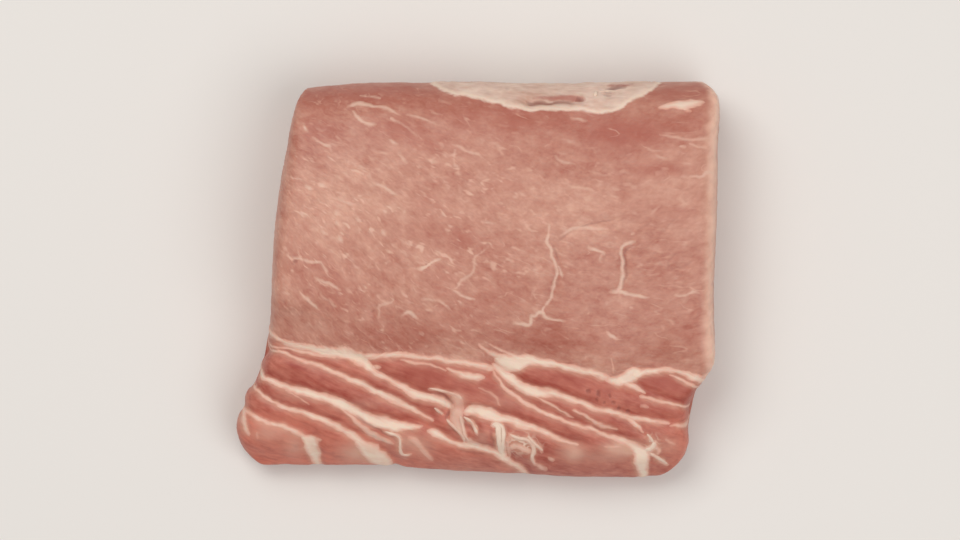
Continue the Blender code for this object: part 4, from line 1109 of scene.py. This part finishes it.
def make_torn_fat(body):
    """The loose strands in the middle of the flap and the wisp at the back edge."""
    tree = BVHTree.FromPolygons([v.co for v in body.data.vertices],
                                [p.vertices for p in body.data.polygons])
    random = np.random.default_rng(STRAND_SEED)
    shape = bmesh.new()
    shape.verts.layers.float_vector.new("strand")
    for points, lift, tone in TORN_STRANDS:
        add_strand(shape, tree, points, lift, tone, random)
    bmesh.ops.recalc_face_normals(shape, faces=shape.faces)
    mesh = bpy.data.meshes.new("torn_fat")
    shape.to_mesh(mesh)
    shape.free()
    mesh.shade_smooth()
    return put_in_scene("torn_fat", mesh)


# ---------------------------------------------------------------- materials
class Graph:
    """A material's node tree, with short calls for the nodes that these materials use.

    Its noise lies on the places that the mesh keeps under the name given as grain.
    """

    def __init__(self, name, grain=None):
        self.material = bpy.data.materials.new(name)
        self.material.use_nodes = True
        self.tree = self.material.node_tree
        self.shader = self.tree.nodes["Principled BSDF"]
        self.place = self.vector(grain) if grain else None

    def node(self, kind, settings=(), **inputs):
        """A new node; an input is named, or given by its number as i0, i1 and so on."""
        node = self.tree.nodes.new(kind)
        for key, value in dict(settings).items():
            setattr(node, key, value)
        for key, value in inputs.items():
            self.feed(node.inputs[int(key[1:]) if key[1:].isdigit() else key], value)
        return node

    def feed(self, socket, value):
        if isinstance(value, bpy.types.NodeSocket):
            self.tree.links.new(value, socket)
        else:
            socket.default_value = value

    def vector(self, name):
        return self.node("ShaderNodeAttribute", {"attribute_name": name}).outputs["Vector"]

    def field(self, name):
        """The three values kept on the mesh under a name."""
        return tuple(self.node("ShaderNodeSeparateXYZ", i0=self.vector(name)).outputs)

    def math(self, operation, *values):
        node = self.node("ShaderNodeMath", {"operation": operation})
        for socket, value in zip(node.inputs, values):
            self.feed(socket, value)
        return node.outputs[0]

    def times(self, product, *values):
        for value in values:
            product = self.math("MULTIPLY", product, value)
        return product

    def sum(self, start, *terms):
        """start plus each (value, factor) of the terms."""
        total = start
        for value, factor in terms:
            total = self.math("MULTIPLY_ADD", value, factor, total)
        return total

    def ramp(self, value, low, high, to_low=0.0, to_high=1.0):
        node = self.node("ShaderNodeMapRange", {"interpolation_type": "SMOOTHSTEP"},
                         i0=value, i1=low, i2=high, i3=to_low, i4=to_high)
        return node.outputs[0]

    def mix(self, share, first, second):
        node = self.node("ShaderNodeMix", {"data_type": "RGBA", "clamp_factor": True})
        self.feed(node.inputs[0], share)
        for socket, color in zip((node.inputs[6], node.inputs[7]), (first, second)):
            self.feed(socket, color if isinstance(color, bpy.types.NodeSocket) else (*color, 1.0))
        return node.outputs[2]

    def noise(self, stretch, detail=3.0, roughness=0.55):
        """Noise about zero, with its own stretch along each axis of the place."""
        scaled = self.node("ShaderNodeVectorMath", {"operation": "MULTIPLY"}, i0=self.place, i1=stretch)
        node = self.node("ShaderNodeTexNoise", i0=scaled.outputs[0], Scale=1.0, Detail=detail,
                         Roughness=roughness)
        return self.math("SUBTRACT", node.outputs["Fac"], 0.5)

    def margin(self, field, wobble):
        """How far inside its line's edge a place is, in millimetres."""
        across, width, _ = field
        return self.math("SUBTRACT", self.math("ADD", width, wobble), self.math("ABSOLUTE", across))

    def most(self, values):
        most = values[0]
        for value in values[1:]:
            most = self.math("MAXIMUM", most, value)
        return most

    def bump(self, height, strength, depth):
        return self.node("ShaderNodeBump", Strength=strength, Distance=depth, Height=height).outputs[0]

    def paint(self, inputs):
        """The material, with the shader's inputs set by name."""
        for name, value in inputs.items():
            self.feed(self.shader.inputs[name], value)
        return self.material


def meat_material():
    g = Graph("raw_pork_meat", "grain")
    flap, red, pale = g.field("zone")
    pale_beside, deep_beside, rim = g.field("beside")
    fats = [g.field(f"fat_{k}") for k in range(FAT_GROUPS)]
    veins = [g.field(f"vein_{k}") for k in range(VEIN_GROUPS)]
    dark = g.field("dark")
    scattered, froth, turning = g.field("scatter")
    patch_inside, streak_inside, streak_tone = g.field("patch")

    broad = g.noise((0.030, 0.055, 0.050), 2.0)
    mottle = g.noise((0.20, 0.30, 0.30), 2.0, 0.5)
    fine = g.noise((0.60, 0.95, 0.95), 2.0, 0.5)
    fibre = g.noise((0.05, 0.6, 0.6), 3.0, 0.6)
    threads = g.noise((0.15, 2.0, 1.6), 2.0)
    edge = g.noise((0.30, 0.8, 0.8), 2.0)

    # the eye: rose, mottled, with faint marbling
    tone = g.sum(0.5, (mottle, 0.65), (fine, 0.35), (broad, 0.7), (pale, 0.30), (red, -0.28))
    eye = g.mix(tone, EYE_DARK, EYE_LIGHT)
    eye = g.mix(g.times(red, 0.7), eye, EYE_RED)
    marbling = g.noise((0.050, 0.17, 0.15), 1.5, 0.5)
    threadlike = g.ramp(g.math("ABSOLUTE", marbling), 0.0, 0.022, 1.0, 0.0)
    broken = g.ramp(g.noise((0.11, 0.3, 0.3), 2.0), 0.0, 0.18)
    eye = g.mix(g.times(threadlike, broken, 0.40), eye, VEIN_ROSY)
    clumps = g.ramp(g.noise((0.07, 0.11, 0.10), 1.0), -0.14, 0.10, 0.25, 1.0)
    speckle = g.ramp(g.noise((0.22, 0.46, 0.44), 1.0), 0.07, 0.26)
    eye = g.mix(g.times(speckle, clumps, scattered, 0.85), eye, VEIN_ROSY)
    # painted highlight, with paler fat, along the right end's rim
    eye = g.mix(g.times(rim, g.sum(0.85, (mottle, 1.0))), eye, RIM_PALE_HIGHLIGHT)

    # the flap's strips: redder, drawn out along their fibres
    tone = g.sum(0.50, (fibre, 1.1), (threads, 0.3), (mottle, 1.2), (broad, 1.2), (deep_beside, -0.25))
    strips = g.mix(tone, STRIP_DARK, STRIP_LIGHT)
    strips = g.mix(g.times(red, 0.5), strips, STRIP_DARK)
    warmth = g.times(turning, g.sum(0.6, (mottle, 1.0), (fibre, 0.8)))
    strips = g.mix(warmth, strips, STRIP_WARM)
    strips = g.mix(pale, strips, STRIP_PALE)
    net = g.ramp(g.math("ABSOLUTE", g.noise((0.35, 0.40, 0.4), 0.5)), 0.02, 0.10, 1.0, 0.0)
    strips = g.mix(g.times(froth, 0.6), strips, FAT_BESIDE)
    strips = g.mix(g.times(net, froth), strips, FAT_CREAM)
    veiled = g.times(pale_beside, g.sum(0.85, (fibre, 1.0)))
    lean = g.mix(flap, eye, g.mix(veiled, strips, FAT_BESIDE))

    # fat over the lean
    uneven = g.noise((0.22, 0.45, 0.45), 2.0)
    ragged = g.sum(0.0, (edge, 0.7), (uneven, 0.8))
    fat_inside = g.most([g.margin(field, ragged) for field in fats])
    fat_tone = g.most([g.times(field[2], g.ramp(g.margin(field, 0.0), -0.6, 0.1))
                       for field in fats])
    vein_inside = g.most([g.margin(field, g.sum(0.0, (edge, 0.5), (uneven, 1.1))) for field in veins])
    vein_tone = g.most([field[2] for field in veins])
    fat_mask = g.times(g.ramp(fat_inside, -0.42, 0.34), g.ramp(fat_tone, 0.0, 0.7, 0.3, 1.0))
    vein_mask = g.times(g.ramp(vein_inside, -0.75, 0.60), g.ramp(vein_tone, 0.0, 1.0, 0.15, 0.85))
    patch_edge = g.math("ADD", patch_inside, g.times(edge, 1.2))
    patch_mask = g.ramp(patch_edge, -0.5, 0.5)

    richness = g.sum(0.0, (g.ramp(fat_inside, -0.2, 1.6), 1.0), (mottle, 1.0), (fibre, 0.9))
    fat_color = g.mix(g.times(richness, fat_tone), FAT_ROSY, FAT_CREAM)
    patch_color = g.mix(g.sum(0.58, (mottle, 1.2), (fibre, 0.8), (broad, 1.4)), PATCH_DARK, PATCH_LIGHT)
    patch_color = g.mix(g.ramp(patch_edge, 0.4, 2.0, 0.8, 0.0), patch_color, FAT_CREAM)
    streak_mask = g.ramp(g.sum(streak_inside, (edge, 1.0)), -0.5, 0.5)
    patch_color = g.mix(g.times(streak_mask, streak_tone), patch_color, STREAK_RED)
    color = g.mix(vein_mask, lean, g.mix(g.times(vein_tone, 0.5), VEIN_ROSY, FAT_CREAM))
    color = g.mix(patch_mask, color, patch_color)
    color = g.mix(fat_mask, color, fat_color)
    # painted shade in the creases, crevices and pits, and dark red spots
    dark_inside = g.margin(dark, g.times(edge, 0.5))
    shade_and_spot_mask = g.times(g.ramp(dark_inside, -0.55, 0.45), dark[2])
    color = g.mix(g.times(shade_and_spot_mask, 0.7), color, CREASE_SHADE_AND_DARK_RED)

    rough = g.sum(0.48, (fine, 0.30), (fat_mask, 0.04))
    height = g.sum(0.0, (fine, 0.6), (threads, 0.4), (fibre, 0.4))
    return g.paint({
        "Base Color": color, "Roughness": rough, "Normal": g.bump(height, 0.35, 0.25 * MM),
        "Specular IOR Level": WET_SPECULAR, "Subsurface Weight": 0.25,
        "Subsurface Radius": (1.0, 0.35, 0.22), "Subsurface Scale": 2.0 * MM,
    })


def torn_fat_material():
    g = Graph("torn_fat", "strand")
    tone = g.field("strand")[2]
    cloudy = g.noise((0.30, 0.15, 0.0), 3.0)
    cords = g.noise((0.25, 2.2, 0.0), 2.0)
    color = g.mix(g.sum(tone, (cloudy, 1.2), (cords, 0.5)), MEMBRANE, FAT_CREAM)
    return g.paint({
        "Base Color": color, "Roughness": g.sum(0.46, (cloudy, 0.2)),
        "Normal": g.bump(cords, 0.25, 0.2 * MM), "Specular IOR Level": WET_SPECULAR,
    })


# ---------------------------------------------------------------- stage, light and camera
FLOOR_COLOR = (0.80, 0.77, 0.74, 1.0)
CAMERA_HEIGHT = 1.6
CAMERA_PLACE = (0.0009, 0.0034)
CAMERA_LENS = 164.9
FLOOR_SIDE = 2.4


def make_floor():
    shape = bmesh.new()
    bmesh.ops.create_grid(shape, x_segments=1, y_segments=1, size=FLOOR_SIDE / 2)
    mesh = bpy.data.meshes.new("floor")
    shape.to_mesh(mesh)
    shape.free()
    paint = Graph("floor").paint({"Base Color": FLOOR_COLOR, "Roughness": 0.8, "Specular IOR Level": 0.1})
    mesh.materials.append(paint)
    put_in_scene("floor", mesh)


def area_light(name, place, size, power, color):
    """Square soft light that looks at the middle of the piece."""
    data = bpy.data.lights.new(name, "AREA")
    data.shape = "SQUARE"
    data.size = size
    data.energy = power
    data.color = color
    lamp = put_in_scene(name, data)
    lamp.location = place
    lamp.rotation_euler = (-Vector(place)).to_track_quat("-Z", "Y").to_euler()


def make_lights():
    area_light("key", (-0.5, 0.7, 1.5), 1.0, 13.5, (1.0, 0.985, 0.96))
    area_light("fill", (0.7, -0.5, 1.45), 1.2, 10.5, (1.0, 0.99, 0.98))
    world = bpy.data.worlds.new("studio")
    world.use_nodes = True
    backdrop = world.node_tree.nodes["Background"]
    backdrop.inputs["Color"].default_value = (1.0, 0.98, 0.96, 1.0)
    backdrop.inputs["Strength"].default_value = 0.37
    bpy.context.scene.world = world


def make_camera():
    data = bpy.data.cameras.new("camera")
    data.lens = CAMERA_LENS
    data.sensor_width = 36.0
    data.clip_end = 20.0
    camera = put_in_scene("camera", data)
    camera.location = (*CAMERA_PLACE, CAMERA_HEIGHT)
    bpy.context.scene.camera = camera


def main():
    make_camera()
    make_lights()
    make_floor()
    body = make_body()
    body.data.materials.append(meat_material())
    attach(body, "root")
    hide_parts(NODE)
    strands = make_torn_fat(body)
    strands.data.materials.append(torn_fat_material())
    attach(strands, "root")
    bpy.context.scene.view_settings.view_transform = "Standard"


main()
